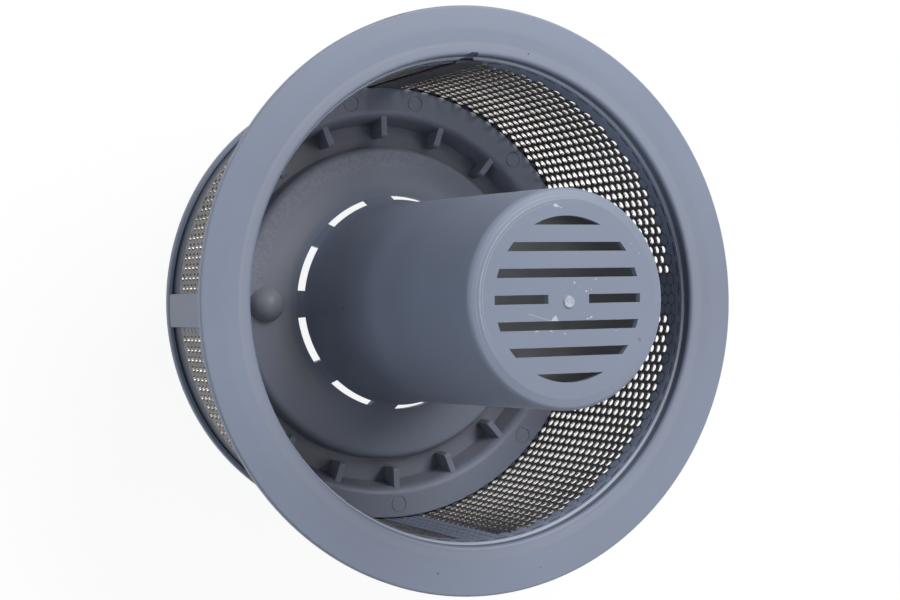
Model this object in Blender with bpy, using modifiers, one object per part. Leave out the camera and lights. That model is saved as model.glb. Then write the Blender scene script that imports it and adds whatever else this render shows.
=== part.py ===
"""Coarse filter of a dishwasher: a plastic basket, its perforated steel band and a slotted riser.

The base lies on z = 0 and the axis of the filter is +Z. Lengths are in metres and angles in degrees.
"""

import math

import bmesh
import bpy
from mathutils import Matrix, Vector

# Clearances
SEAT_GAP = 0.0003  # between two pieces that seat on each other
CUT_MARGIN = 0.002  # how far a cutter runs past the surface that it leaves by

# Basket frame: flange and collar
BASKET_DEPTH = 0.0747
FLANGE_WIDTH = 0.0140  # from the bore out to the rim
FLANGE_THICKNESS = 0.0030
FLANGE_EDGE_ROUND = 0.0007
FACE_RING_WIDTH = 0.0074  # the part of the face that dips, from the bore outwards
FACE_DIP = 0.00025
BORE_STEP = 0.0005  # how much further out the bore is than the outer face of the sheet
BORE_ROUND = 0.0010
LEDGE_DROP = 0.0036
LEDGE_THICKNESS = 0.0009
COLLAR_DROP = 0.0094  # from the face of the flange to the lower edge of the collar
COLLAR_THICKNESS = 0.0021
NOTCH_WIDTH = 0.0052
NOTCH_DEPTH = 0.0019
NOTCH_SINK = 0.0003  # how far it cuts into the ledge

# Basket frame: bars and lip
BASKET_TURN = 2.0  # how far the bars are turned from +X
BAR_COUNT = 4
BAR_WIDTH = 0.0099
BAR_THICKNESS = 0.0013
BAR_SETBACK = 0.0001  # the bars lie this much further out than the lip's inner face
BAR_NECK = 0.0005  # thickness of each bar where the groove cuts into its foot
LIP_HEIGHT = 0.0026
LIP_THICKNESS = 0.0012
LIP_ROUND = 0.0005
GROOVE_HEIGHT = 0.0018  # between the lip and the foot of each bar

# Basket frame: floor, step and fins
FLOOR_HEIGHT = 0.01065
FLOOR_THICKNESS = 0.0020
SKIRT_THICKNESS = 0.0018
FLOOR_WIDTH = 0.0098  # from the sheet in to the top of the step
STEP_DRAFT = 0.0013  # how much narrower the step is at its foot
STEP_ROUND = 0.0028
FIN_COUNT = 18
FIN_THICKNESS = 0.0020
FIN_REACH = 0.0044  # from the foot of the step towards the riser
FIN_DROP = 0.0009  # from the floor down to the top of a fin
FIN_CHAMFER = 0.0007
FIN_FOOT_RISE = 0.0002

# Perforated band
SHEET_RADIUS = 0.0680
SHEET_THICKNESS = 0.0005
SHEET_SEAT = 0.0020  # height of the seat behind the lip that the sheet stands on
SHEET_COLUMNS = 40
HOLE_SIDES = 6
HOLE_DIAMETER = 0.0068
HOLE_PITCH = 0.0122
HOLE_MARGIN = 0.0012  # from the floor or the collar to the nearest hole
SEAM_WIDTH = 0.0088

# Riser
RISER_HEIGHT = 0.1223
RISER_WALL = 0.00195
RISER_TURN = 1.0  # how far its slots, grille and stud are turned from +X
FOOT_OVERLAP = 0.0039  # how far the riser's foot reaches under the step
TUBE_TIP_RADIUS = 0.0286
TUBE_FOOT_RADIUS = 0.0301
TIP_ROUND = 0.0017
DOME_HEIGHT = 0.0094  # at the shoulder
FLARE_RISE = 0.0206  # from the shoulder up to where the tube begins to widen
FLARE_HANDLE = 0.0055  # height over the shoulder of the curve's handle under the tube
DOME_HANDLE = 0.0014  # height over the shoulder of the curve's handle over the dome
TROUGH_WIDTH = 0.0073  # between the shoulder and the foot of the step
SHOULDER_ROUND = 0.0022
SLOT_COUNT = 9
SLOT_ANGLE = 25.6
SLOT_RISE = 0.00795  # from the shoulder up to the top of the slots
SLOT_REACH = 0.00296  # from the foot of the tube out to the far side of the slots
STUD_RADIUS = 0.0052
STUD_INSET = 0.0078  # from the shoulder in to the middle of the stud
STUD_SINK = 0.0006
STUD_STEPS = 20
GRILLE_MARGIN = 0.0072  # from the tip of the tube in to the slots' circle
GRILLE_PITCH = 0.0067
GRILLE_SLOT = 0.0023
GRILLE_ROWS = 7
GRILLE_BRIDGE = 0.0119  # solid middle of the centre row
GATE_RADIUS = 0.0017
GATE_TOP_RADIUS = 0.0014
GATE_HEIGHT = 0.0004
GATE_STEPS = 16

# Facets of the turned shapes
BASKET_STEPS = 60
RISER_STEPS = 48
GRILLE_STEPS = 40
FLARE_STEPS = 9
ROUND_STEPS = 2

# Sizes that follow from the ones above
SHEET_INNER = SHEET_RADIUS - SHEET_THICKNESS
FRAME_INNER = SHEET_RADIUS + SEAT_GAP
FLOOR_RADIUS = SHEET_INNER - SEAT_GAP
BORE_RADIUS = SHEET_RADIUS + BORE_STEP
FLANGE_RADIUS = BORE_RADIUS + FLANGE_WIDTH
FACE_RING_RADIUS = BORE_RADIUS + FACE_RING_WIDTH
LEDGE_HEIGHT = BASKET_DEPTH - LEDGE_DROP
COLLAR_FOOT = BASKET_DEPTH - COLLAR_DROP
BAR_RADIUS = FRAME_INNER + BAR_THICKNESS
LIP_RADIUS = FRAME_INNER + LIP_THICKNESS
SHEET_TOP = LEDGE_HEIGHT - LEDGE_THICKNESS - SEAT_GAP
SHEET_FOOT = SHEET_SEAT + SEAT_GAP
STEP_TOP_RADIUS = FLOOR_RADIUS - FLOOR_WIDTH
STEP_FOOT_RADIUS = STEP_TOP_RADIUS - STEP_DRAFT
STEP_FOOT_HEIGHT = RISER_WALL + SEAT_GAP
RISER_FOOT_RADIUS = STEP_FOOT_RADIUS + FOOT_OVERLAP
SHOULDER_RADIUS = STEP_FOOT_RADIUS - TROUGH_WIDTH
FLARE_HEIGHT = DOME_HEIGHT + FLARE_RISE
SLOT_TOP = DOME_HEIGHT + SLOT_RISE
SLOT_RADIUS = TUBE_FOOT_RADIUS + SLOT_REACH
STUD_PLACE = SHOULDER_RADIUS - STUD_INSET  # from the axis, opposite +X
GRILLE_RADIUS = TUBE_TIP_RADIUS - GRILLE_MARGIN
SEAM_ANGLE = BASKET_TURN + 90.0


def clear_scene():
    """Remove what the file holds, with the data that nothing uses any more."""
    for found in list(bpy.data.objects):
        bpy.data.objects.remove(found, do_unlink=True)
    for found in list(bpy.data.meshes):
        bpy.data.meshes.remove(found)


def collection(name):
    """A new collection of the scene."""
    made = bpy.data.collections.new(name)
    bpy.context.scene.collection.children.link(made)
    return made


def material(name, colour, roughness, metallic):
    """A Principled material."""
    made = bpy.data.materials.new(name)
    made.use_nodes = True
    shader = made.node_tree.nodes["Principled BSDF"]
    shader.inputs["Base Color"].default_value = (*colour, 1.0)
    shader.inputs["Roughness"].default_value = roughness
    shader.inputs["Metallic"].default_value = metallic
    return made


def arc(centre, radius, start, end, steps=ROUND_STEPS):
    """Points (r, z) of a rounded corner, both ends included."""
    points = []
    for step in range(steps + 1):
        angle = math.radians(start + (end - start) * step / steps)
        points.append((centre[0] + radius * math.cos(angle), centre[1] + radius * math.sin(angle)))
    return points


def bezier(first, second, third, last, steps):
    """Points (r, z) along a cubic curve, both ends included."""
    points = []
    for step in range(steps + 1):
        t = step / steps
        weights = ((1 - t) ** 3, 3 * t * (1 - t) ** 2, 3 * t * t * (1 - t), t**3)
        corners = (first, second, third, last)
        points.append(tuple(sum(w * c[axis] for w, c in zip(weights, corners)) for axis in (0, 1)))
    return points


def mesh_object(name, mesh, group):
    """A new object for this mesh, in a collection."""
    made = bpy.data.objects.new(name, mesh)
    group.objects.link(made)
    return made


def turned(name, profile, steps, group, closed=True):
    """A profile of (r, z) points turned about the axis: a ring where it is closed, otherwise a skin."""
    mesh = bpy.data.meshes.new(name)
    edges = [(index, index + 1) for index in range(len(profile) - 1)]
    if closed:
        edges.append((len(profile) - 1, 0))
    mesh.from_pydata([(r, 0.0, z) for r, z in profile], edges, [])
    made = mesh_object(name, mesh, group)
    screw = made.modifiers.new("Turn", "SCREW")
    screw.steps = screw.render_steps = steps
    screw.use_merge_vertices = True
    screw.merge_threshold = 0.00001
    return made


def box_mesh(bm, low, high, turn=0.0):
    """Add a box between two corners to bm, turned about the axis by some degrees."""
    size = [high[axis] - low[axis] for axis in range(3)]
    middle = Vector([(high[axis] + low[axis]) / 2 for axis in range(3)])
    place = Matrix.Rotation(math.radians(turn), 4, "Z") @ Matrix.Translation(middle)
    return bmesh.ops.create_cube(bm, size=1.0, matrix=place @ Matrix.Diagonal((*size, 1.0)))["verts"]


def finish_mesh(name, bm, group):
    """Turn a bmesh into an object with all its faces pointing out."""
    bmesh.ops.recalc_face_normals(bm, faces=bm.faces)
    mesh = bpy.data.meshes.new(name)
    bm.to_mesh(mesh)
    bm.free()
    return mesh_object(name, mesh, group)


def as_cutter(obj):
    """Keep a helper out of the model."""
    obj.hide_render = True
    obj.display_type = "WIRE"
    return obj


def combine(obj, other, operation):
    """Cut or join another closed shape."""
    modifier = obj.modifiers.new(other.name, "BOOLEAN")
    modifier.operation = operation
    modifier.object = other
    modifier.solver = "EXACT"
    return obj


def flange_profile():
    """The section of the flange, the bore, the ledge over the sheet and the collar."""
    top = BASKET_DEPTH
    under = BASKET_DEPTH - FLANGE_THICKNESS
    rim = FLANGE_RADIUS - FLANGE_EDGE_ROUND
    dip = top - FACE_DIP
    points = [(FACE_RING_RADIUS, top)]
    points += arc((rim, top - FLANGE_EDGE_ROUND), FLANGE_EDGE_ROUND, 90, 0)
    points += arc((rim, under + FLANGE_EDGE_ROUND), FLANGE_EDGE_ROUND, 0, -90)
    points += [(FRAME_INNER + COLLAR_THICKNESS, under), (FRAME_INNER + COLLAR_THICKNESS, COLLAR_FOOT)]
    points += [(FRAME_INNER, COLLAR_FOOT), (FRAME_INNER, LEDGE_HEIGHT - LEDGE_THICKNESS)]
    points += [(SHEET_INNER + SEAT_GAP, LEDGE_HEIGHT - LEDGE_THICKNESS)]
    points += [(SHEET_INNER + SEAT_GAP, LEDGE_HEIGHT), (BORE_RADIUS, LEDGE_HEIGHT)]
    points += arc((BORE_RADIUS + BORE_ROUND, dip - BORE_ROUND), BORE_ROUND, 180, 90)
    return points


def wall_profile():
    """The section of the wall that the four bars are left of, from inside the lip to inside the collar."""
    top = COLLAR_FOOT + LEDGE_THICKNESS
    foot = LIP_HEIGHT + GROOVE_HEIGHT
    root = (SHEET_SEAT + LIP_HEIGHT) / 2
    inner = FRAME_INNER + BAR_SETBACK
    neck = inner + BAR_NECK
    return [(BAR_RADIUS, top), (BAR_RADIUS, foot), (neck, foot), (neck, root), (inner, root), (inner, top)]


def base_profile():
    """The section of the lip, the seat of the sheet, the skirt, the floor and the step."""
    under = FLOOR_HEIGHT - FLOOR_THICKNESS
    skirt = FLOOR_RADIUS - SKIRT_THICKNESS
    lip = LIP_RADIUS - LIP_ROUND
    points = arc((lip, LIP_HEIGHT - LIP_ROUND), LIP_ROUND, 90, 0)
    points += arc((lip, LIP_ROUND), LIP_ROUND, 0, -90)
    points += [(skirt, 0.0), (skirt, under), (STEP_TOP_RADIUS + FLOOR_THICKNESS, under)]
    points += [(STEP_FOOT_RADIUS + FLOOR_THICKNESS, STEP_FOOT_HEIGHT)]
    points += [(STEP_FOOT_RADIUS, STEP_FOOT_HEIGHT)]
    centre = (STEP_TOP_RADIUS + STEP_ROUND, FLOOR_HEIGHT - STEP_ROUND)
    points += arc(centre, STEP_ROUND, 180, 90, ROUND_STEPS + 1)
    points += [(FLOOR_RADIUS, FLOOR_HEIGHT), (FLOOR_RADIUS, SHEET_SEAT), (FRAME_INNER, SHEET_SEAT)]
    points += [(FRAME_INNER, LIP_HEIGHT)]
    return points


def bar_blocks(group):
    """Four blocks as wide as the bars: what they meet of the wall becomes the bars."""
    bm = bmesh.new()
    for bar in range(BAR_COUNT):
        turn = BASKET_TURN + 360.0 * bar / BAR_COUNT
        low = (FRAME_INNER - CUT_MARGIN, -BAR_WIDTH / 2, 0.0)
        high = (BAR_RADIUS + CUT_MARGIN, BAR_WIDTH / 2, BASKET_DEPTH)
        box_mesh(bm, low, high, turn)
    return as_cutter(finish_mesh("bar_blocks", bm, group))


def fins(group):
    """The short radial fins that stand in the step, each with its upper inner corner cut off."""
    bm = bmesh.new()
    inner = STEP_FOOT_RADIUS - FIN_REACH
    outer = STEP_TOP_RADIUS + STEP_ROUND / 2
    top = FLOOR_HEIGHT - FIN_DROP
    for fin in range(FIN_COUNT):
        turn = BASKET_TURN + 360.0 * (fin + 0.5) / FIN_COUNT
        low = (inner, -FIN_THICKNESS / 2, STEP_FOOT_HEIGHT + FIN_FOOT_RISE)
        corners = box_mesh(bm, low, (outer, FIN_THICKNESS / 2, top), turn)
        edges = {edge for corner in corners for edge in corner.link_edges}
        nearest = min(edges, key=lambda edge: edge_place(edge))
        bmesh.ops.bevel(bm, geom=[nearest], offset=FIN_CHAMFER, segments=1, affect="EDGES")
    return as_cutter(finish_mesh("fins", bm, group))


def edge_place(edge):
    """How near an edge's middle is to the axis, with the highest of equally near edges first."""
    middle = (edge.verts[0].co + edge.verts[1].co) / 2
    return round(math.hypot(middle.x, middle.y), 5), -round(middle.z, 5)


def seam_notch(group):
    """The relief in the bore over the seam of the sheet, with one slanted side."""
    bm = bmesh.new()
    low = (SHEET_INNER, -NOTCH_WIDTH / 2, LEDGE_HEIGHT - LEDGE_THICKNESS - CUT_MARGIN)
    high = (BORE_RADIUS + NOTCH_DEPTH, NOTCH_WIDTH / 2, BASKET_DEPTH + CUT_MARGIN)
    corners = box_mesh(bm, low, high)
    for corner in corners:
        if corner.co.y > 0.0 and corner.co.x < BORE_RADIUS:
            corner.co.y += NOTCH_DEPTH
        if corner.co.z < LEDGE_HEIGHT:
            corner.co.z = LEDGE_HEIGHT - NOTCH_SINK
    bmesh.ops.rotate(bm, verts=bm.verts, matrix=Matrix.Rotation(math.radians(SEAM_ANGLE), 3, "Z"))
    return as_cutter(finish_mesh("seam_notch", bm, group))


def basket_frame(parts, helpers):
    """The basket moulding: flange and base, joined by the four bars, with the fins in the step."""
    frame = turned("basket_frame", flange_profile(), BASKET_STEPS, parts)
    base = as_cutter(turned("basket_base", base_profile(), BASKET_STEPS, helpers))
    wall = as_cutter(turned("basket_wall", wall_profile(), BASKET_STEPS, helpers))
    combine(wall, bar_blocks(helpers), "INTERSECT")
    combine(frame, wall, "UNION")
    combine(frame, base, "UNION")
    combine(frame, fins(helpers), "UNION")
    combine(frame, seam_notch(helpers), "DIFFERENCE")
    return frame


def hole_heights(column):
    """The heights of the hole centres in one column, between the floor and the collar."""
    low = FLOOR_HEIGHT + HOLE_MARGIN + HOLE_DIAMETER / 2
    high = COLLAR_FOOT - HOLE_MARGIN - HOLE_DIAMETER / 2
    count = int((high - low) / HOLE_PITCH)
    first = (low + high) / 2 - HOLE_PITCH * count / 2
    if column % 2:
        first += HOLE_PITCH / 2
    heights = [first + HOLE_PITCH * index for index in range(count + 1)]
    return [height for height in heights if height <= high]


def column_is_open(column):
    """Whether a column of holes is clear of the bars: one column in every quarter lies behind a bar."""
    off = (360.0 * column / SHEET_COLUMNS + 180.0 / BAR_COUNT) % (360.0 / BAR_COUNT) - 180.0 / BAR_COUNT
    reach = math.radians(abs(off)) * SHEET_RADIUS
    return reach > BAR_WIDTH / 2 + HOLE_DIAMETER / 2


def punches(group):
    """All the punches of the band as one helper, each a six-sided pin along a radius."""
    bm = bmesh.new()
    length = SHEET_THICKNESS + 2 * CUT_MARGIN
    for column in range(SHEET_COLUMNS):
        if not column_is_open(column):
            continue
        turn = Matrix.Rotation(math.radians(BASKET_TURN + 360.0 * column / SHEET_COLUMNS), 4, "Z")
        for height in hole_heights(column):
            place = Matrix.Translation((SHEET_RADIUS - SHEET_THICKNESS / 2, 0.0, height))
            lie = Matrix.Rotation(math.radians(90.0), 4, "Y")
            bmesh.ops.create_cone(
                bm,
                cap_ends=True,
                segments=HOLE_SIDES,
                radius1=HOLE_DIAMETER / 2,
                radius2=HOLE_DIAMETER / 2,
                depth=length,
                matrix=turn @ place @ lie,
            )
    return as_cutter(finish_mesh("punches", bm, group))


def seam(group):
    """The plain end of the sheet, lapped over the other end on the inside."""
    bm = bmesh.new()
    facet = math.cos(math.pi / SHEET_COLUMNS)
    low = (SHEET_INNER * facet - SHEET_THICKNESS, -SEAM_WIDTH / 2, FLOOR_HEIGHT + SEAT_GAP)
    high = ((SHEET_INNER + SHEET_THICKNESS / 2) * facet, SEAM_WIDTH / 2, SHEET_TOP)
    box_mesh(bm, low, high, SEAM_ANGLE)
    return as_cutter(finish_mesh("seam", bm, group))


def perforated_band(parts, helpers):
    """The steel band: a rolled ring with one facet to each column of holes, and its lap seam."""
    profile = [(SHEET_RADIUS, SHEET_TOP), (SHEET_RADIUS, SHEET_FOOT)]
    profile += [(SHEET_INNER, SHEET_FOOT), (SHEET_INNER, SHEET_TOP)]
    start = math.radians(BASKET_TURN + 180.0 / SHEET_COLUMNS)
    band = turned("perforated_band", profile, SHEET_COLUMNS, parts)
    band.rotation_euler.z = start
    combine(band, seam(helpers), "UNION")
    combine(band, punches(helpers), "DIFFERENCE")
    return band


def flare():
    """The curve (r, z) of the dome, from the foot of the tube to the shoulder."""
    first = (TUBE_FOOT_RADIUS, FLARE_HEIGHT)
    down = (TUBE_FOOT_RADIUS, DOME_HEIGHT + FLARE_HANDLE)
    out = (SLOT_RADIUS, DOME_HEIGHT + DOME_HANDLE)
    last = (SHOULDER_RADIUS - SHOULDER_ROUND, DOME_HEIGHT)
    return bezier(first, down, out, last, FLARE_STEPS)


def riser_profile():
    """The outer line (r, z) of the riser, from the middle of its top down to the edge of its foot."""
    points = [(0.0, RISER_HEIGHT - GATE_HEIGHT), (GRILLE_RADIUS + TIP_ROUND, RISER_HEIGHT - GATE_HEIGHT)]
    centre = (TUBE_TIP_RADIUS - TIP_ROUND, RISER_HEIGHT - GATE_HEIGHT - TIP_ROUND)
    points += arc(centre, TIP_ROUND, 90, 0)
    points += flare()
    points += arc((SHOULDER_RADIUS - SHOULDER_ROUND, DOME_HEIGHT - SHOULDER_ROUND), SHOULDER_ROUND, 60, 0)
    points += [(SHOULDER_RADIUS, RISER_WALL), (RISER_FOOT_RADIUS, RISER_WALL)]
    return points


def dome_height(radius):
    """The height of the dome's outer face at some distance from the axis."""
    line = flare()
    for (r_a, z_a), (r_b, z_b) in zip(line, line[1:]):
        if r_a <= radius <= r_b:
            return z_a + (z_b - z_a) * (radius - r_a) / (r_b - r_a)
    return DOME_HEIGHT


def riser_slots(group):
    """The nine curved slots between tube and dome: a ring of the slots' width, less the ribs between them."""
    profile = [(SLOT_RADIUS, SLOT_TOP), (SLOT_RADIUS, DOME_HEIGHT - CUT_MARGIN - RISER_WALL)]
    inner = TUBE_FOOT_RADIUS - RISER_WALL - CUT_MARGIN
    profile += [(inner, DOME_HEIGHT - CUT_MARGIN - RISER_WALL), (inner, SLOT_TOP)]
    ring = as_cutter(turned("slot_ring", profile, 2 * RISER_STEPS, group))
    half_rib = math.radians(180.0 / SLOT_COUNT - SLOT_ANGLE / 2)
    width = 2 * SLOT_RADIUS * math.sin(half_rib)
    bm = bmesh.new()
    for rib in range(SLOT_COUNT):
        turn = RISER_TURN + 360.0 * (rib + 0.5) / SLOT_COUNT
        low = (inner - CUT_MARGIN, -width / 2, 0.0)
        box_mesh(bm, low, (SLOT_RADIUS + CUT_MARGIN, width / 2, FLARE_HEIGHT), turn)
    ribs = as_cutter(finish_mesh("slot_ribs", bm, group))
    return combine(ring, ribs, "DIFFERENCE")


def grille_slots(group):
    """The slots in the top of the riser: seven bars of the grille's pitch, kept inside its circle."""
    bm = bmesh.new()
    depth = RISER_WALL + CUT_MARGIN
    low_z = RISER_HEIGHT - GATE_HEIGHT - depth
    middle_row = GRILLE_ROWS // 2
    for row in range(GRILLE_ROWS):
        y = (row - middle_row) * GRILLE_PITCH
        low_y = y - GRILLE_SLOT / 2
        high_y = y + GRILLE_SLOT / 2
        starts = [(-GRILLE_RADIUS - CUT_MARGIN, GRILLE_RADIUS + CUT_MARGIN)]
        if row == middle_row:
            starts = [(-GRILLE_RADIUS, -GRILLE_BRIDGE / 2), (GRILLE_BRIDGE / 2, GRILLE_RADIUS)]
        for low_x, high_x in starts:
            box_mesh(bm, (low_x, low_y, low_z), (high_x, high_y, RISER_HEIGHT + CUT_MARGIN), RISER_TURN)
    slots = as_cutter(finish_mesh("grille_slots", bm, group))
    bm = bmesh.new()
    bmesh.ops.create_cone(
        bm,
        cap_ends=True,
        segments=GRILLE_STEPS,
        radius1=GRILLE_RADIUS,
        radius2=GRILLE_RADIUS,
        depth=2 * (depth + CUT_MARGIN),
        matrix=Matrix.Translation((0.0, 0.0, RISER_HEIGHT)),
    )
    circle = as_cutter(finish_mesh("grille_circle", bm, group))
    return combine(slots, circle, "INTERSECT")


def stud(group):
    """The round stud on the dome."""
    bm = bmesh.new()
    turn = Matrix.Rotation(math.radians(RISER_TURN), 4, "Z")
    place = turn @ Vector((-STUD_PLACE, 0.0, dome_height(STUD_PLACE) - STUD_SINK))
    bmesh.ops.create_uvsphere(
        bm,
        u_segments=STUD_STEPS,
        v_segments=STUD_STEPS // 2,
        radius=STUD_RADIUS,
        matrix=Matrix.Translation(place),
    )
    cut = bmesh.ops.bisect_plane(
        bm,
        geom=bm.verts[:] + bm.edges[:] + bm.faces[:],
        plane_co=(0.0, 0.0, place.z - RISER_WALL / 2),
        plane_no=(0.0, 0.0, 1.0),
        clear_inner=True,
    )
    rim = [found for found in cut["geom_cut"] if isinstance(found, bmesh.types.BMEdge)]
    bmesh.ops.edgeloop_fill(bm, edges=rim)
    return as_cutter(finish_mesh("stud", bm, group))


def gate(group):
    """The low round mark that the moulding gate left on the middle of the grille."""
    bm = bmesh.new()
    depth = GATE_HEIGHT + RISER_WALL / 2
    bmesh.ops.create_cone(
        bm,
        cap_ends=True,
        segments=GATE_STEPS,
        radius1=GATE_RADIUS,
        radius2=GATE_TOP_RADIUS,
        depth=depth,
        matrix=Matrix.Translation((0.0, 0.0, RISER_HEIGHT - depth / 2)),
    )
    return as_cutter(finish_mesh("gate", bm, group))


def riser(parts, helpers):
    """The riser moulding: one shell of even wall, with its slots, grille, stud and gate mark."""
    made = turned("riser", riser_profile(), RISER_STEPS, parts, closed=False)
    shell = made.modifiers.new("Wall", "SOLIDIFY")
    shell.thickness = RISER_WALL
    shell.offset = -1.0
    shell.use_even_offset = True
    combine(made, grille_slots(helpers), "DIFFERENCE")
    combine(made, riser_slots(helpers), "DIFFERENCE")
    combine(made, stud(helpers), "UNION")
    combine(made, gate(helpers), "UNION")
    return made


def shade(obj):
    """Shade the round faces smooth and keep the corners sharp."""
    obj.data.shade_smooth()
    obj.data.set_sharp_from_angle(angle=math.radians(30.0))


def main():
    """Build the three pieces of the filter."""
    clear_scene()
    parts = collection("dishwasher_filter")
    helpers = collection("helpers")
    plastic = material("grey_blue_plastic", (0.235, 0.270, 0.360), 0.45, 0.0)
    steel = material("stainless_sheet", (0.42, 0.42, 0.43), 0.35, 1.0)
    made = {
        basket_frame(parts, helpers): plastic,
        perforated_band(parts, helpers): steel,
        riser(parts, helpers): plastic,
    }
    for obj, finish in made.items():
        obj.data.materials.append(finish)
        shade(obj)


main()
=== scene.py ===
"""The looks of a dishwasher's coarse filter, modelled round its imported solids.

Lengths are in metres and angles in degrees. The axis of the filter is +Z and its lip stands on z = 0.
"""

import logging
import math
from contextlib import contextmanager
from dataclasses import dataclass
from enum import Enum
from typing import Callable, Iterator, Sequence

import bmesh
import bpy
from bmesh.types import BMEdge, BMFace, BMVert
from bpy.types import Material, Node, NodeSocket, NodeTree, Object
from mathutils import Matrix, Vector


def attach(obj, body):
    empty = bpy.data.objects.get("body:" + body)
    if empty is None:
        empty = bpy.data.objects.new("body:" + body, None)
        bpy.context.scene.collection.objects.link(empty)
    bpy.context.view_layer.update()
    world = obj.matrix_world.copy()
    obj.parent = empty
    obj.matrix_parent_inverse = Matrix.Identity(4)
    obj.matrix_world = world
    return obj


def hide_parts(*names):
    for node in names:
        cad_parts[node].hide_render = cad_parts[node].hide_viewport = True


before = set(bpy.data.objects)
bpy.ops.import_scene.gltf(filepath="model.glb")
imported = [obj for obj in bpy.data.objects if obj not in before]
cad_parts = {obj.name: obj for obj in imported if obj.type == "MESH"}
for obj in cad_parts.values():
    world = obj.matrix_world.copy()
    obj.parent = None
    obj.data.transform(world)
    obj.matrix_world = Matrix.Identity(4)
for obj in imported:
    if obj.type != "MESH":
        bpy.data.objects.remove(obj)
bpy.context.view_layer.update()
log = logging.getLogger("filter")

Point = tuple[float, float]
Point3 = tuple[float, float, float]
Colour = tuple[float, float, float]
# Points closer than this are one point
MERGE = 1e-6
# Neighbouring cells of the sheet join within this
WELD = 0.00002
# A small step past a face or an edge, to catch what lies on it
NEAR = 0.0001
UPWARD = (0.0, 0.0, 1.0)


def arc(centre: Point, radius: float, start: float, end: float, steps: int) -> list[Point]:
    """Lay out a round about a centre (r, z) from one angle to another, as points (r, z) with both ends."""
    turns = [math.radians(start + (end - start) * step / steps) for step in range(steps + 1)]
    return [(centre[0] + radius * math.cos(t), centre[1] + radius * math.sin(t)) for t in turns]


def smooth_step(value: float) -> float:
    """Ease a value from 0 to 1."""
    value = min(max(value, 0.0), 1.0)
    return value * value * (3.0 - 2.0 * value)


def radius_of(place: Vector) -> float:
    """Distance of a place from the axis."""
    return math.hypot(place.x, place.y)


def bearing_of(place: Vector) -> float:
    """Angle of a place round the axis, from 0 to 360."""
    return math.degrees(math.atan2(place.y, place.x)) % 360.0


def apart(first: float, second: float) -> float:
    """Angle between two bearings, from 0 to 180."""
    return abs((first - second + 180.0) % 360.0 - 180.0)


def middle_of(edge: BMEdge) -> Vector:
    """Middle of an edge."""
    return (edge.verts[0].co + edge.verts[1].co) / 2


def turns_to(bearings: Sequence[float]) -> list[Matrix]:
    """Turns about the filter's axis, one to each bearing."""
    return [Matrix.Rotation(math.radians(bearing), 4, "Z") for bearing in bearings]


def on_circle(bearing: float, radius: float, height: float) -> Point3:
    """Place at a bearing, at a radius in millimetres and at a height in metres."""
    turn = math.radians(bearing)
    return (radius / 1000 * math.cos(turn), radius / 1000 * math.sin(turn), height)


class Shape(Enum):
    """How one closed shape is worked into another."""

    CUT = "DIFFERENCE"
    JOIN = "UNION"
    KEEP = "INTERSECT"


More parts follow.
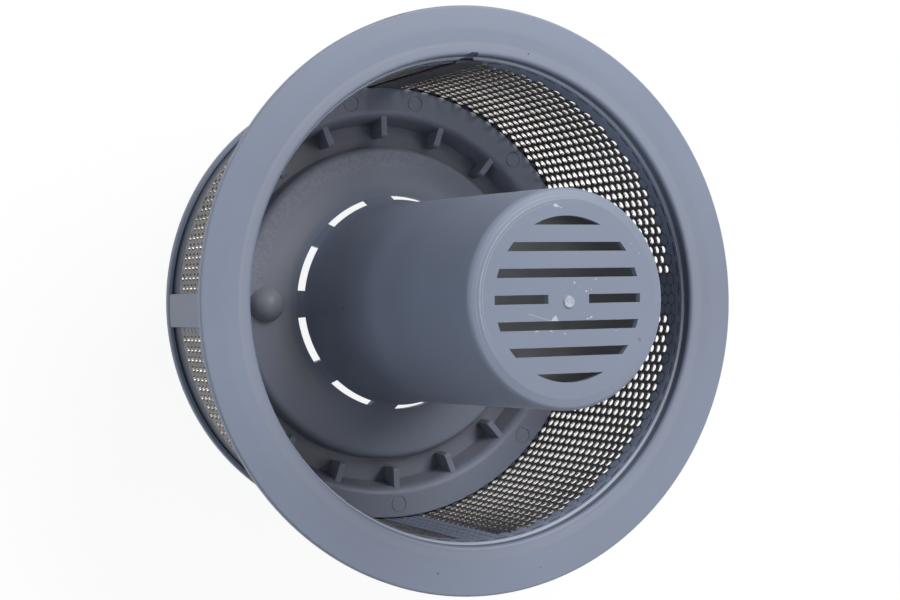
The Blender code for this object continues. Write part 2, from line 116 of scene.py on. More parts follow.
class Bench:
    """The modelling moves that every sub-assembly shares."""

    @staticmethod
    def clear() -> None:
        """Leave edit mode and deselect everything."""
        if bpy.context.mode != "OBJECT":
            bpy.ops.object.mode_set(mode="OBJECT")
        bpy.ops.object.select_all(action="DESELECT")

    @staticmethod
    def pick(*objs: Object) -> Object:
        """Select only these objects.

        Args:
            objs: The objects, of which the first becomes the active one.

        Returns:
            The active object.
        """
        Bench.clear()
        for obj in objs:
            obj.select_set(True)
        bpy.context.view_layer.objects.active = objs[0]
        return objs[0]

    @staticmethod
    @contextmanager
    def edit(obj: Object, whole: bool = False) -> Iterator[None]:
        """Hold one object in edit mode.

        Args:
            obj: The object to work on.
            whole: Whether all of it is selected, or nothing.

        Returns:
            A context in which the edit mode operators act on the object.
        """
        Bench.pick(obj)
        bpy.ops.object.mode_set(mode="EDIT")
        bpy.ops.mesh.select_mode(type="VERT")
        bpy.ops.mesh.select_all(action="SELECT" if whole else "DESELECT")
        yield
        bpy.ops.object.mode_set(mode="OBJECT")

    @staticmethod
    def select(obj: Object, kind: str, test: Callable) -> int:
        """Select the parts of a mesh in edit mode that pass a test.

        Args:
            obj: The object in edit mode.
            kind: "verts", "edges" or "faces".
            test: Says of one part whether it is selected.

        Returns:
            The number of parts selected.
        """
        bpy.ops.mesh.select_mode(type=kind.removesuffix("s").upper())
        bpy.ops.mesh.select_all(action="DESELECT")
        shape = bmesh.from_edit_mesh(obj.data)
        found = [part for part in getattr(shape, kind) if test(part)]
        for part in found:
            part.select_set(True)
        shape.select_flush_mode()
        bmesh.update_edit_mesh(obj.data)
        return len(found)

    @staticmethod
    def draw_out(value: Point3, centre: Point3 = (0.0, 0.0, 0.0), extrude: bool = True) -> None:
        """Scale what is selected in edit mode.

        Args:
            value: The scale along each axis.
            centre: The place that stays.
            extrude: Whether it is extruded first.
        """
        if extrude:
            bpy.ops.mesh.extrude_region_move()
        bpy.ops.transform.resize(value=value, center_override=centre)

    @staticmethod
    def apply_place(obj: Object) -> Object:
        """Move an object's place, turn and scale into its mesh.

        Args:
            obj: The object, which ends at the origin.

        Returns:
            The same object.
        """
        Bench.pick(obj)
        bpy.ops.object.transform_apply(location=True, rotation=True, scale=True)
        return obj

    @staticmethod
    def added(name: str) -> Object:
        """Name the shape that an operator has just added, and move its place into its mesh.

        Args:
            name: Its name.

        Returns:
            The new object.
        """
        obj = bpy.context.active_object
        obj.name = name
        return Bench.apply_place(obj)

    @staticmethod
    def turn(obj: Object, angle: float) -> Object:
        """Turn an object about the filter's axis, in its mesh."""
        obj.rotation_euler.z = math.radians(angle)
        return Bench.apply_place(obj)

    @staticmethod
    def modify(obj: Object, kind: str, **settings: object) -> Object:
        """Apply one modifier to an object.

        Args:
            obj: The object.
            kind: Type of the modifier.
            settings: Values of its properties.

        Returns:
            The same object.
        """
        Bench.pick(obj)
        modifier = obj.modifiers.new(kind, kind)
        for name, value in settings.items():
            setattr(modifier, name, value)
        bpy.ops.object.modifier_apply(modifier=modifier.name)
        return obj

    @staticmethod
    def join(*objs: Object) -> Object:
        """Join objects into the first of them.

        Args:
            objs: The objects.

        Returns:
            The first object.
        """
        joined = Bench.pick(*objs)
        if len(objs) > 1:
            bpy.ops.object.join()
        return joined

    @staticmethod
    def block(name: str, low: Sequence[float], high: Sequence[float]) -> Object:
        """Add a box between two corners.

        Args:
            name: Name of the new object.
            low: Its lowest corner.
            high: Its highest corner.

        Returns:
            The new object, with its place in its mesh.
        """
        Bench.clear()
        bpy.ops.mesh.primitive_cube_add(size=1.0, location=[(a + b) / 2 for a, b in zip(low, high)])
        bpy.context.active_object.scale = [b - a for a, b in zip(low, high)]
        return Bench.added(name)

    @staticmethod
    def round_bar(name: str, radius: float, low: float, high: float, steps: int) -> Object:
        """Add an upright round bar on the filter's axis.

        Args:
            name: Name of the new object.
            radius: Radius of the bar.
            low: Height of its foot.
            high: Height of its top.
            steps: Number of its sides.

        Returns:
            The new object, with its place in its mesh.
        """
        Bench.clear()
        bpy.ops.mesh.primitive_cylinder_add(
            vertices=steps, radius=radius, depth=high - low, location=(0.0, 0.0, (low + high) / 2)
        )
        return Bench.added(name)

    @staticmethod
    def turned(
        name: str,
        section: Sequence[Point],
        steps: int,
        closed: bool = True,
        sweep: float = 360.0,
        place: Point = (0.0, 0.0),
    ) -> Object:
        """Draw a section by extruding one vertex along it, and spin it about an upright axis.

        Args:
            name: Name of the new object.
            section: Points (r, z) of the section.
            steps: Number of steps of the spin.
            closed: Whether the section's last point joins its first.
            sweep: How far it is spun; less than a full turn is closed at both ends.
            place: Where the axis of the spin stands.

        Returns:
            The new object, closed where the section or the sweep leaves a hole.
        """
        Bench.clear()
        first = section[0]
        bpy.ops.mesh.primitive_plane_add(size=MERGE, location=(place[0] + first[0], place[1], first[1]))
        obj = Bench.added(name)
        with Bench.edit(obj, whole=True):
            bpy.ops.mesh.merge(type="CENTER")
            for before, after in zip(section, section[1:]):
                step = (after[0] - before[0], 0.0, after[1] - before[1])
                bpy.ops.mesh.extrude_vertices_move(TRANSFORM_OT_translate={"value": step})
            if closed:
                Bench.select(obj, "verts", lambda vert: len(vert.link_edges) == 1)
                bpy.ops.mesh.edge_face_add()
            bpy.ops.mesh.select_all(action="SELECT")
            bpy.ops.mesh.spin(steps=steps, angle=math.radians(sweep), center=(*place, 0.0), axis=UPWARD)
            bpy.ops.mesh.select_all(action="SELECT")
            bpy.ops.mesh.remove_doubles(threshold=MERGE)
            bpy.ops.mesh.fill_holes(sides=0)
            bpy.ops.mesh.normals_make_consistent(inside=False)
        return obj

    @staticmethod
    def combine(obj: Object, other: Object, how: Shape) -> Object:
        """Work one closed shape into another.

        Args:
            obj: The shape that is kept.
            other: The shape that is used up.
            how: Whether it is cut out, joined on, or bounds what is kept.

        Returns:
            The first shape.
        """
        Bench.modify(obj, "BOOLEAN", operation=how.value, solver="EXACT", object=other)
        bpy.data.objects.remove(other, do_unlink=True)
        return obj

    @staticmethod
    def copies(obj: Object, places: Sequence[Matrix]) -> Object:
        """Copy a shape to several places and join the copies.

        Args:
            obj: The shape, which is used up.
            places: One matrix for each copy.

        Returns:
            One object that holds all the copies.
        """
        made = []
        for place in places:
            copy = obj.copy()
            copy.data = obj.data.copy()
            copy.data.transform(place)
            bpy.context.scene.collection.objects.link(copy)
            made.append(copy)
        name = obj.name
        bpy.data.objects.remove(obj, do_unlink=True)
        joined = Bench.join(*made)
        joined.name = name
        return joined

    @staticmethod
    def soften(obj: Object, test: Callable, width: float, segments: int = 2) -> None:
        """Bevel the edges of an object that pass a test.

        Args:
            obj: The object.
            test: Says of one edge whether it is bevelled.
            width: Width of the bevel.
            segments: Number of its facets.
        """
        with Bench.edit(obj):
            if Bench.select(obj, "edges", test):
                bpy.ops.mesh.bevel(offset=width, segments=segments, affect="EDGES", clamp_overlap=True)

    @staticmethod
    def finish(obj: Object, sharp: float = 30.0) -> Object:
        """Shade a finished shape smooth between its corners.

        Args:
            obj: The object.
            sharp: Edges that turn more than this stay sharp.

        Returns:
            The same object.
        """
        Bench.pick(obj)
        bpy.ops.object.shade_smooth_by_angle(angle=math.radians(sharp))
        return Bench.modify(obj, "WEIGHTED_NORMAL", keep_sharp=True)


class Tree:
    """A small hand for wiring shader nodes."""

    def __init__(self, tree: NodeTree) -> None:
        """Keep the tree that is wired."""
        self.tree = tree

    def add(self, kind: str, **settings: object) -> Node:
        """Add a node.

        Args:
            kind: Its type name, without the word ShaderNode.
            settings: Values of its properties.

        Returns:
            The new node.
        """
        node = self.tree.nodes.new("ShaderNode" + kind)
        for name, value in settings.items():
            setattr(node, name, value)
        return node

    def wire(self, node: Node, **inputs: object) -> Node:
        """Give a node's inputs their values or links.

        Args:
            node: The node.
            inputs: For each input, by its name with _ for a space or by its number after an n, a
                value or the socket that feeds it.

        Returns:
            The same node.
        """
        for name, value in inputs.items():
            socket = node.inputs[int(name[1:])] if name[1:].isdigit() else node.inputs[name.replace("_", " ")]
            if isinstance(value, NodeSocket):
                self.tree.links.new(value, socket)
            else:
                socket.default_value = value
        return node

    def math(
        self, operation: str, first: object, second: object = 0.0, clamp: bool = False
    ) -> NodeSocket:
        """Work out a value from one or two others; clamp keeps it between 0 and 1."""
        node = self.add("Math", operation=operation, use_clamp=clamp)
        return self.wire(node, n0=first, n1=second).outputs[0]

    def times(self, first: object, second: object) -> NodeSocket:
        """Multiply two values."""
        return self.math("MULTIPLY", first, second)

    def vector(self, operation: str, first: object, second: object = None) -> NodeSocket:
        """Work out a vector, or a length or product, from one or two others.

        Args:
            operation: Name of the Vector Math node's operation.
            first: The first vector or socket.
            second: The second one, or for SCALE the scale.

        Returns:
            The socket of the result.
        """
        inputs = {"n0": first}
        if second is not None:
            inputs["Scale" if operation == "SCALE" else "n1"] = second
        node = self.wire(self.add("VectorMath", operation=operation), **inputs)
        return node.outputs["Value" if operation in ("LENGTH", "DISTANCE", "DOT_PRODUCT") else "Vector"]

    def level(self, place: object) -> NodeSocket:
        """Flatten a place onto z = 0."""
        return self.vector("MULTIPLY", place, (1.0, 1.0, 0.0))

    def ramp(
        self, value: object, low: float, high: float, start: float = 0.0, end: float = 1.0
    ) -> NodeSocket:
        """Ease a value between two limits into the range from start to end."""
        node = self.add("MapRange", interpolation_type="SMOOTHSTEP")
        return self.wire(node, n0=value, n1=low, n2=high, n3=start, n4=end).outputs[0]

    def noise(
        self, place: object, scale: object, detail: float = 2.0, rough: float = 0.5
    ) -> NodeSocket:
        """Add noise, whose scale is per metre, and give its plain value."""
        noise = self.wire(self.add("TexNoise"), Vector=place, Scale=scale, Detail=detail, Roughness=rough)
        return noise.outputs[0]

    def mix(self, share: object, first: object, second: object) -> NodeSocket:
        """Mix two colours.

        Args:
            share: How much of the second is taken.
            first: The first colour or socket.
            second: The second colour or socket.

        Returns:
            The socket of the mixed colour.
        """
        first, second = ((*end, 1.0) if isinstance(end, tuple) else end for end in (first, second))
        node = self.add("Mix", data_type="RGBA")
        return self.wire(node, n0=share, n6=first, n7=second).outputs[2]

    def group(self, made: NodeTree, **inputs: object) -> Node:
        """Place a node group and give its inputs their values or links."""
        return self.wire(self.add("Group", node_tree=made), **inputs)


class Effects:
    """The effects that the finishes share, each a node group that is built once."""

    def __init__(self) -> None:
        """Build every group."""
        self.grain = self._grain()
        self.specks = self._specks()
        self.rings = self._rings()
        self.stroke = self._stroke()
        self.zone = self._zone()

    @staticmethod
    def _open(
        name: str, inputs: dict[str, float], outputs: Sequence[str], places: Sequence[str] = ("Place",)
    ) -> tuple[Tree, bpy.types.bpy_prop_collection, Node]:
        """Start a group.

        Args:
            name: Name of the group.
            inputs: Names of its value inputs, with their defaults.
            outputs: Names of its value outputs.
            places: Names of its inputs that are places.

        Returns:
            The hand that wires it, the sockets of its inputs and its output node.
        """
        made = bpy.data.node_groups.new(name, "ShaderNodeTree")
        for label in places:
            made.interface.new_socket(label, in_out="INPUT", socket_type="NodeSocketVector")
        for label, value in inputs.items():
            socket = made.interface.new_socket(label, in_out="INPUT", socket_type="NodeSocketFloat")
            socket.default_value = value
        for label in outputs:
            made.interface.new_socket(label, in_out="OUTPUT", socket_type="NodeSocketFloat")
        return Tree(made), made.nodes.new("NodeGroupInput").outputs, made.nodes.new("NodeGroupOutput")

    @staticmethod
    def _kept(tree: Tree, broken: NodeSocket, gaps: NodeSocket) -> NodeSocket:
        """Share of a mark that its gaps leave."""
        return tree.math("SUBTRACT", 1.0, tree.times(broken, gaps))

    @staticmethod
    def _grain() -> NodeTree:
        """Build the fine grain of a surface, with a slow drift of its tone.

        Returns:
            The group.
        """
        tree, given, out = Effects._open("surface_grain", {"Fine": 2600.0, "Slow": 22.0}, ("Height", "Drift"))
        fine = tree.noise(given["Place"], given["Fine"], 3.0, 0.6)
        slow = tree.noise(given["Place"], given["Slow"], 4.0, 0.55)
        tree.wire(out, Height=fine, Drift=tree.ramp(slow, 0.3, 0.7))
        return tree.tree

    @staticmethod
    def _specks() -> NodeTree:
        """Build scattered specks of dust and dirt.

        Returns:
            The group.
        """
        tree, given, out = Effects._open("dust_specks", {"Spacing": 160.0, "Share": 0.2}, ("Mask",))
        cells = tree.add("TexVoronoi", feature="F1")
        tree.wire(cells, Vector=given["Place"], Scale=given["Spacing"], Randomness=1.0)
        chance = tree.wire(tree.add("TexWhiteNoise", noise_dimensions="3D"), Vector=cells.outputs["Position"])
        kept = tree.math("LESS_THAN", chance.outputs[0], given["Share"])
        tree.wire(out, Mask=tree.times(tree.ramp(cells.outputs["Distance"], 0.03, 0.07, 1.0, 0.0), kept))
        return tree.tree

    @staticmethod
    def _rings() -> NodeTree:
        """Build faint scratches that run round the axis.

        Returns:
            The group.
        """
        tree, given, out = Effects._open("turning_marks", {"Fine": 5200.0}, ("Mask",))
        distance = tree.times(tree.vector("LENGTH", tree.level(given["Place"])), given["Fine"])
        rings = tree.add("TexNoise", noise_dimensions="1D")
        tree.wire(rings, W=distance, Scale=1.0, Detail=3.0, Roughness=0.7)
        fade = tree.ramp(tree.noise(given["Place"], 34.0, 3.0), 0.45, 0.68)
        tree.wire(out, Mask=tree.times(tree.ramp(rings.outputs[0], 0.55, 0.7), fade))
        return tree.tree

    @staticmethod
    def _stroke() -> NodeTree:
        """Build one ragged stroke from a place to another, for scuffs, scratches, single specks and small
        painted shade.

        Returns:
            The group.
        """
        inputs = {"Width": 0.0003, "Ragged": 1.0, "Broken": 0.0, "Strength": 1.0}
        tree, given, out = Effects._open("stroke", inputs, ("Mask",), ("Place", "Start", "End"))
        wander = tree.wire(tree.add("TexNoise"), Vector=given["Place"], Scale=1500.0, Detail=2.0, Roughness=0.6)
        centred = tree.vector("SUBTRACT", wander.outputs[1], (0.5, 0.5, 0.5))
        reach = tree.times(given["Width"], tree.times(given["Ragged"], 3.0))
        here = tree.vector("ADD", given["Place"], tree.vector("SCALE", centred, reach))
        away = tree.vector("SUBTRACT", here, given["Start"])
        line = tree.vector("SUBTRACT", given["End"], given["Start"])
        length = tree.math("MAXIMUM", tree.vector("DOT_PRODUCT", line, line), 1e-12)
        share = tree.math("DIVIDE", tree.vector("DOT_PRODUCT", away, line), length, clamp=True)
        off = tree.vector("DISTANCE", away, tree.vector("SCALE", line, share))
        edge = tree.ramp(tree.math("DIVIDE", off, given["Width"]), 0.6, 1.1, 1.0, 0.0)
        gaps = tree.ramp(tree.noise(given["Place"], 2400.0), 0.45, 0.55)
        kept = Effects._kept(tree, given["Broken"], gaps)
        tree.wire(out, Mask=tree.times(tree.times(edge, given["Strength"]), kept))
        return tree.tree

    @staticmethod
    def _zone() -> NodeTree:
        """Build a ring-shaped zone round the axis, which may fade out away from one side.

        Returns:
            The group.
        """
        inputs = {"Inner": 0.0, "Outer": 0.1, "Foot": 0.0, "Top": 0.1, "Soft": 0.0003}
        inputs |= {"All": 1.0, "Broken": 0.0, "Strength": 1.0}
        tree, given, out = Effects._open("ring_zone", inputs, ("Mask",), ("Place", "Side"))
        flat = tree.level(given["Place"])
        radius = tree.vector("LENGTH", flat)
        height = tree.wire(tree.add("SeparateXYZ"), n0=given["Place"]).outputs["Z"]
        mask = given["Strength"]
        for value, low, high in ((radius, "Inner", "Outer"), (height, "Foot", "Top")):
            for far, near in ((value, given[low]), (given[high], value)):
                inside = tree.math("DIVIDE", tree.math("SUBTRACT", far, near), given["Soft"])
                mask = tree.times(mask, tree.ramp(inside, -0.5, 0.5))
        facing = tree.vector("DOT_PRODUCT", tree.vector("NORMALIZE", flat), given["Side"])
        share = tree.math("MAXIMUM", tree.ramp(facing, 0.35, 0.85), given["All"])
        gaps = tree.ramp(tree.noise(given["Place"], 900.0, 4.0, 0.7), 0.44, 0.56)
        kept = Effects._kept(tree, given["Broken"], gaps)
        tree.wire(out, Mask=tree.times(tree.times(mask, share), kept))
        return tree.tree


@dataclass(frozen=True)
class Zone:
    """A ring-shaped zone of a moulding with another tone, such as a painted highlight, a painted shade or silt.

    It lies between two radii and two heights, all round or, where a side is given, on that side.
    """

    radii: Sequence[float]
    heights: Sequence[float]
    tone: Colour
    strength: float
    soft: float = 0.0003
    side: Sequence[float] = (0.0, 0.0, 0.0)
    broken: float = 0.0

    def mask(self, tree: Tree, effects: Effects, place: NodeSocket) -> NodeSocket:
        """Wire the zone into a material and give its mask."""
        (inner, outer), (foot, top) = self.radii, self.heights
        return tree.group(
            effects.zone, Place=place, Side=self.side, Inner=inner, Outer=outer, Foot=foot, Top=top,
            Soft=self.soft, Broken=self.broken, All=float(not any(self.side)), Strength=self.strength,
        ).outputs["Mask"]


@dataclass(frozen=True)
class Stroke:
    """One scuff, scratch or speck on a moulding, or painted shade such as that of a nick, from one place to
    another.
    """

    start: Sequence[float]
    end: Sequence[float]
    width: float
    tone: Colour
    strength: float = 0.8
    ragged: float = 1.0
    broken: float = 0.0

    def mask(self, tree: Tree, effects: Effects, place: NodeSocket) -> NodeSocket:
        """Wire the stroke into a material and give its mask."""
        return tree.group(
            effects.stroke, Place=place, Start=self.start, End=self.end, Width=self.width,
            Ragged=self.ragged, Broken=self.broken, Strength=self.strength,
        ).outputs["Mask"]


def start_material(name: str) -> tuple[Material, Tree, Node, NodeSocket]:
    """Start a material.

    Args:
        name: Name of the material.

    Returns:
        The material, the hand that wires it, its shader and its object coordinates.
    """
    made = bpy.data.materials.new(name)
    made.use_nodes = True
    tree = Tree(made.node_tree)
    return made, tree, made.node_tree.nodes["Principled BSDF"], tree.add("TexCoord").outputs["Object"]


@dataclass(frozen=True)
class PlasticFinish:
    """Satin polypropylene: fine grain, a slow drift of tone, turning marks and specks."""

    name: str
    colour: Colour
    worn: Colour = (0.330, 0.360, 0.440)
    dirt: Colour = (0.060, 0.062, 0.070)
    darker: float = 0.93
    roughness: float = 0.42
    sheen: float = 0.35
    grain: float = 0.10
    ring_grain: float = 0.05
    bump: float = 0.35
    bump_depth: float = 0.0002
    marks: float = 0.35
    strokes: tuple[Stroke, ...] = ()
    zones: tuple[Zone, ...] = ()

    def build(self, effects: Effects) -> Material:
        """Build the material.

        Args:
            effects: The shared node groups.

        Returns:
            The material.
        """
        made, tree, shader, place = start_material(self.name)
        grain = tree.group(effects.grain, Place=place, Fine=2800.0, Slow=24.0)
        rings = tree.group(effects.rings, Place=place).outputs["Mask"]
        specks = tree.group(effects.specks, Place=place, Spacing=170.0, Share=0.12).outputs["Mask"]
        shade = tuple(value * self.darker for value in self.colour)
        base = tree.mix(grain.outputs["Drift"], shade, self.colour)
        base = tree.mix(tree.times(rings, self.marks * 0.5), base, self.worn)
        base = tree.mix(specks, base, self.dirt)
        # The zones and strokes lay silt, scuffs and specks, and also painted highlights, painted sheen and
        # painted shade
        for mark in (*self.zones, *self.strokes):
            base = tree.mix(mark.mask(tree, effects, place), base, mark.tone)
        rough = tree.ramp(grain.outputs["Drift"], 0.0, 1.0, self.roughness - 0.03, self.roughness + 0.05)
        rough = tree.math("ADD", rough, tree.times(rings, 0.12))
        height = tree.times(grain.outputs["Height"], self.grain)
        height = tree.math("ADD", height, tree.times(rings, self.ring_grain))
        bump = tree.wire(tree.add("Bump"), Strength=self.bump, Distance=self.bump_depth, Height=height)
        shader.inputs["Specular IOR Level"].default_value = self.sheen
        tree.wire(shader, Base_Color=base, Roughness=rough, Normal=bump.outputs[0])
        return made


@dataclass(frozen=True)
class SteelFinish:
    """Dull rolled steel sheet: rolling streaks, smudges, a little tarnish, painted shade low down at its foot
    and painted shade just under its top edge.
    """

    name: str
    colour: Colour
    tarnish: Colour = (0.150, 0.150, 0.165)
    roughness: float = 0.44
    metal: float = 0.88
    # Painted shade: a darker bluish band low on the sheet, ragged along its top, for the dark that the plain
    # steel reflects there
    low_shade: Colour = (0.070, 0.082, 0.112)
    low_shade_top: float = 0.0096
    low_shade_ragged: float = 0.0012
    # Painted shade just under the sheet's top edge, where it runs in under the ledge
    painted_shade: Colour = (0.030, 0.033, 0.042)
    top_edge: float = 0.0697
    bump: float = 0.25
    bump_depth: float = 0.00004

    def build(self, effects: Effects) -> Material:
        """Build the material.

        Args:
            effects: The shared node groups.

        Returns:
            The material.
        """
        made, tree, shader, place = start_material(self.name)
        grain = tree.group(effects.grain, Place=place, Fine=3600.0, Slow=45.0)
        drift = grain.outputs["Drift"]
        streaks = tree.wire(tree.add("Mapping"), Vector=place, Scale=(1.0, 1.0, 14.0))
        lines = tree.noise(streaks.outputs[0], 260.0, 4.0, 0.6)
        base = tree.mix(tree.times(tree.ramp(lines, 0.3, 0.7), drift), self.colour, self.tarnish)
        height = tree.wire(tree.add("SeparateXYZ"), n0=place).outputs["Z"]
        # Painted shade low on the sheet, up to a ragged line
        ragged = tree.times(tree.math("SUBTRACT", drift, 0.5), self.low_shade_ragged)
        ragged = tree.math("ADD", height, ragged)
        low_shade_mask = tree.ramp(ragged, self.low_shade_top - 0.0008, self.low_shade_top + 0.0004, 1.0, 0.0)
        base = tree.mix(low_shade_mask, base, self.low_shade)
        # Painted shade darkening the sheet towards its top edge
        base = tree.mix(tree.ramp(height, self.top_edge - 0.0006, self.top_edge), base, self.painted_shade)
        rough = tree.ramp(lines, 0.3, 0.7, self.roughness - 0.06, self.roughness + 0.08)
        relief = tree.math("ADD", lines, tree.times(grain.outputs["Height"], 0.4))
        bump = tree.wire(tree.add("Bump"), Strength=self.bump, Distance=self.bump_depth, Height=relief)
        shader.inputs["Metallic"].default_value = self.metal
        tree.wire(shader, Base_Color=base, Roughness=rough, Normal=bump.outputs[0])
        return made


@dataclass(frozen=True)
class Seats:
    """The sizes at which the three pieces meet, as in the solids."""

    gap: float = 0.0003
    sheet: float = 0.0680
    sheet_wall: float = 0.0005
    sheet_foot: float = 0.0023
    sheet_top: float = 0.0699
    riser_wall: float = 0.00195
    turn: float = 2.0
    riser_turn: float = 1.0

    @property
    def frame_inner(self) -> float:
        """Radius of the plastic just outside the sheet."""
        return self.sheet + self.gap

    @property
    def sheet_inner(self) -> float:
        """Inner radius of the sheet."""
        return self.sheet - self.sheet_wall

    @property
    def floor_radius(self) -> float:
        """Radius of the floor just inside the sheet."""
        return self.sheet_inner - self.gap


@dataclass
class BasketMoulding:
    """The basket moulding: flange, collar, bars, lip, floor, step and fins."""

    seats: Seats
    depth: float = 0.0747
    flange_radius: float = 0.0825
    flange_thickness: float = 0.0030
    rim_round: float = 0.0007
    face_ring: float = 0.0759
    face_line: float = 0.0722
    face_dip: float = 0.00025
    rim_sink: float = 0.00014
    bore: float = 0.0685
    bore_round: float = 0.0012
    ledge: float = 0.0711
    ledge_thickness: float = 0.0009
    collar_foot: float = 0.0653
    collar_thickness: float = 0.0021
    bar_width: float = 0.0099
    bar_thickness: float = 0.0013
    bar_neck: float = 0.0005
    bar_count: int = 4
    lip_height: float = 0.0026
    lip_thickness: float = 0.0012
    lip_round: float = 0.0005
    groove: float = 0.0018
    floor: float = 0.01065
    floor_thickness: float = 0.0020
    skirt: float = 0.0018
    step_top: float = 0.0574
    step_foot: float = 0.0561
    step_round: float = 0.0028
    fin_count: int = 18
    fin_thickness: float = 0.0020
    fin_reach: float = 0.0044
    fin_top: float = 0.00975
    fin_corner: float = 0.0007
    fin_edge: float = 0.00022
    bar_edge: float = 0.00035
    mark_bearings: Sequence[float] = (2.0, 47.0, 82.5, 102.4, 137.0, 182.0, 227.0, 272.0, 317.0)
    mark_place: float = 0.063
    mark_radius: float = 0.0025
    mark_width: float = 0.00024
    mark_depth: float = 0.0002
    notch_depth: float = 0.00145
    notch_sides: Sequence[float] = (-0.00085, 0.00118)
    notch_slants: Sequence[float] = (-0.00075, 0.0032)
    notch_edge: float = 0.0003
    steps: int = 180

    def flange(self) -> Object:
        """Turn the flange with its bore, ledge and collar.

        Returns:
            The flange.
        """
        top = self.depth
        under = top - self.flange_thickness
        rim = self.flange_radius - self.rim_round
        dip = top - self.face_dip
        inner = self.seats.frame_inner
        collar = inner + self.collar_thickness
        shelf = self.ledge - self.ledge_thickness
        bead = 0.0002
        edge = top - self.rim_sink - self.rim_round
        section = [(self.face_line + 0.00006, dip + 0.00011), (self.face_ring - 0.0004, top - 0.00002)]
        section += [(self.face_ring + 0.0002, top), (self.face_ring + 0.0014, top - 0.00002)]
        section += arc((rim, edge), self.rim_round, 88, 0, 5)
        section += arc((rim, under + self.rim_round), self.rim_round, 0, -90, 5)
        section += [(collar, under), (collar, self.collar_foot + bead), (collar - bead, self.collar_foot)]
        lip = self.seats.sheet_inner + self.seats.gap
        section += [(inner, self.collar_foot), (inner, shelf), (lip, shelf)]
        section += [(lip, self.ledge - bead), (lip + bead, self.ledge)]
        section += [(self.bore - bead, self.ledge), (self.bore, self.ledge + bead)]
        section += arc((self.bore + self.bore_round, dip - self.bore_round), self.bore_round, 180, 90, 5)
        section += [(self.face_line - 0.00006, dip + 0.00006)]
        return Bench.turned("basket_moulding", section, self.steps)

    def base(self) -> Object:
        """Turn the lip, the seat of the sheet, the skirt, the floor and the step.

        Returns:
            The base.
        """
        seats = self.seats
        seat = seats.sheet_foot - seats.gap
        foot = seats.riser_wall + seats.gap
        lip = seats.frame_inner + self.lip_thickness - self.lip_round
        under = self.floor - self.floor_thickness
        skirt = seats.floor_radius - self.skirt
        edge = 0.0004
        section = arc((lip, self.lip_height - self.lip_round), self.lip_round, 90, 0, 4)
        section += arc((lip, self.lip_round), self.lip_round, 0, -90, 4)
        section += [(skirt, 0.0), (skirt, under), (self.step_top + self.floor_thickness, under)]
        section += [(self.step_foot + self.floor_thickness, foot), (self.step_foot, foot)]
        centre = (self.step_top + self.step_round, self.floor - self.step_round)
        section += arc(centre, self.step_round, 180, 90, 8)
        section += arc((seats.floor_radius - edge, self.floor - edge), edge, 90, 0, 3)
        section += [(seats.floor_radius, seat), (seats.frame_inner, seat), (seats.frame_inner, self.lip_height)]
        return Bench.turned("basket_base", section, self.steps)

    def bars(self) -> Object:
        """Model one bar, with the groove in its foot and rounded long edges, and copy it round.

        Returns:
            The bars.
        """
        inner = self.seats.frame_inner + NEAR
        outer = self.seats.frame_inner + self.bar_thickness
        foot = self.lip_height + self.groove
        root = self.lip_height - 0.0003
        top = self.collar_foot + self.ledge_thickness
        section = [(outer, top), (outer, foot), (inner + self.bar_neck, foot), (inner + self.bar_neck, root)]
        section += [(inner, root), (inner, top)]
        sweep = math.degrees(self.bar_width / outer)
        bar = Bench.turned("bars", section, 6, sweep=sweep)
        long_edge = 0.02

        def is_long_outer(edge: BMEdge) -> bool:
            """Whether an edge is one of the two long outer ones at the bar's sides.

            Args:
                edge: An edge of the bar.

            Returns:
                Whether it is.
            """
            middle = middle_of(edge)
            off = min(apart(bearing_of(middle), -turn) for turn in (0.0, sweep))
            return edge.calc_length() > long_edge and radius_of(middle) > outer - NEAR and off < 0.1

        Bench.soften(bar, is_long_outer, self.bar_edge, 3)
        turns = [self.seats.turn + 360.0 * n / self.bar_count + sweep / 2 for n in range(self.bar_count)]
        return Bench.copies(bar, turns_to(turns))

    def fins(self) -> Object:
        """Model one fin with its upper inner corner cut off and its edges eased, and copy it round.

        Returns:
            The fins.
        """
        inner = self.step_foot - self.fin_reach
        outer = self.step_top + self.step_round / 2
        foot = self.seats.riser_wall + self.seats.gap + 0.0002
        half = self.fin_thickness / 2
        fin = Bench.block("fins", (inner, -half, foot), (outer, half, self.fin_top))

        def is_upper_inner(edge: BMEdge) -> bool:
            """Whether an edge is the fin's upper inner one."""
            middle = middle_of(edge)
            return middle.x < inner + NEAR and middle.z > self.fin_top - NEAR

        def is_seen(edge: BMEdge) -> bool:
            """Whether an edge runs round the fin's top or down its inner end."""
            low, far = min(vert.co.z for vert in edge.verts), max(vert.co.x for vert in edge.verts)
            return low > self.fin_top - 0.001 or far < inner + NEAR

        Bench.soften(fin, is_upper_inner, self.fin_corner, 1)
        Bench.soften(fin, is_seen, self.fin_edge)
        turns = [self.seats.turn + 360.0 * (n + 0.5) / self.fin_count for n in range(self.fin_count)]
        return Bench.copies(fin, turns_to(turns))

    def ejector_marks(self) -> Object:
        """Model the fine round grooves that the ejector pins left in the floor.

        Returns:
            The marks, as one shape to cut.
        """
        out, low = self.mark_radius, self.floor - self.mark_depth
        high, inner = low + 0.001, out - self.mark_width
        section = [(out, low), (out, high), (inner, high), (inner, low)]
        groove = Bench.turned("marks", section, 40, place=(self.mark_place, 0.0))
        return Bench.copies(groove, turns_to(self.mark_bearings))

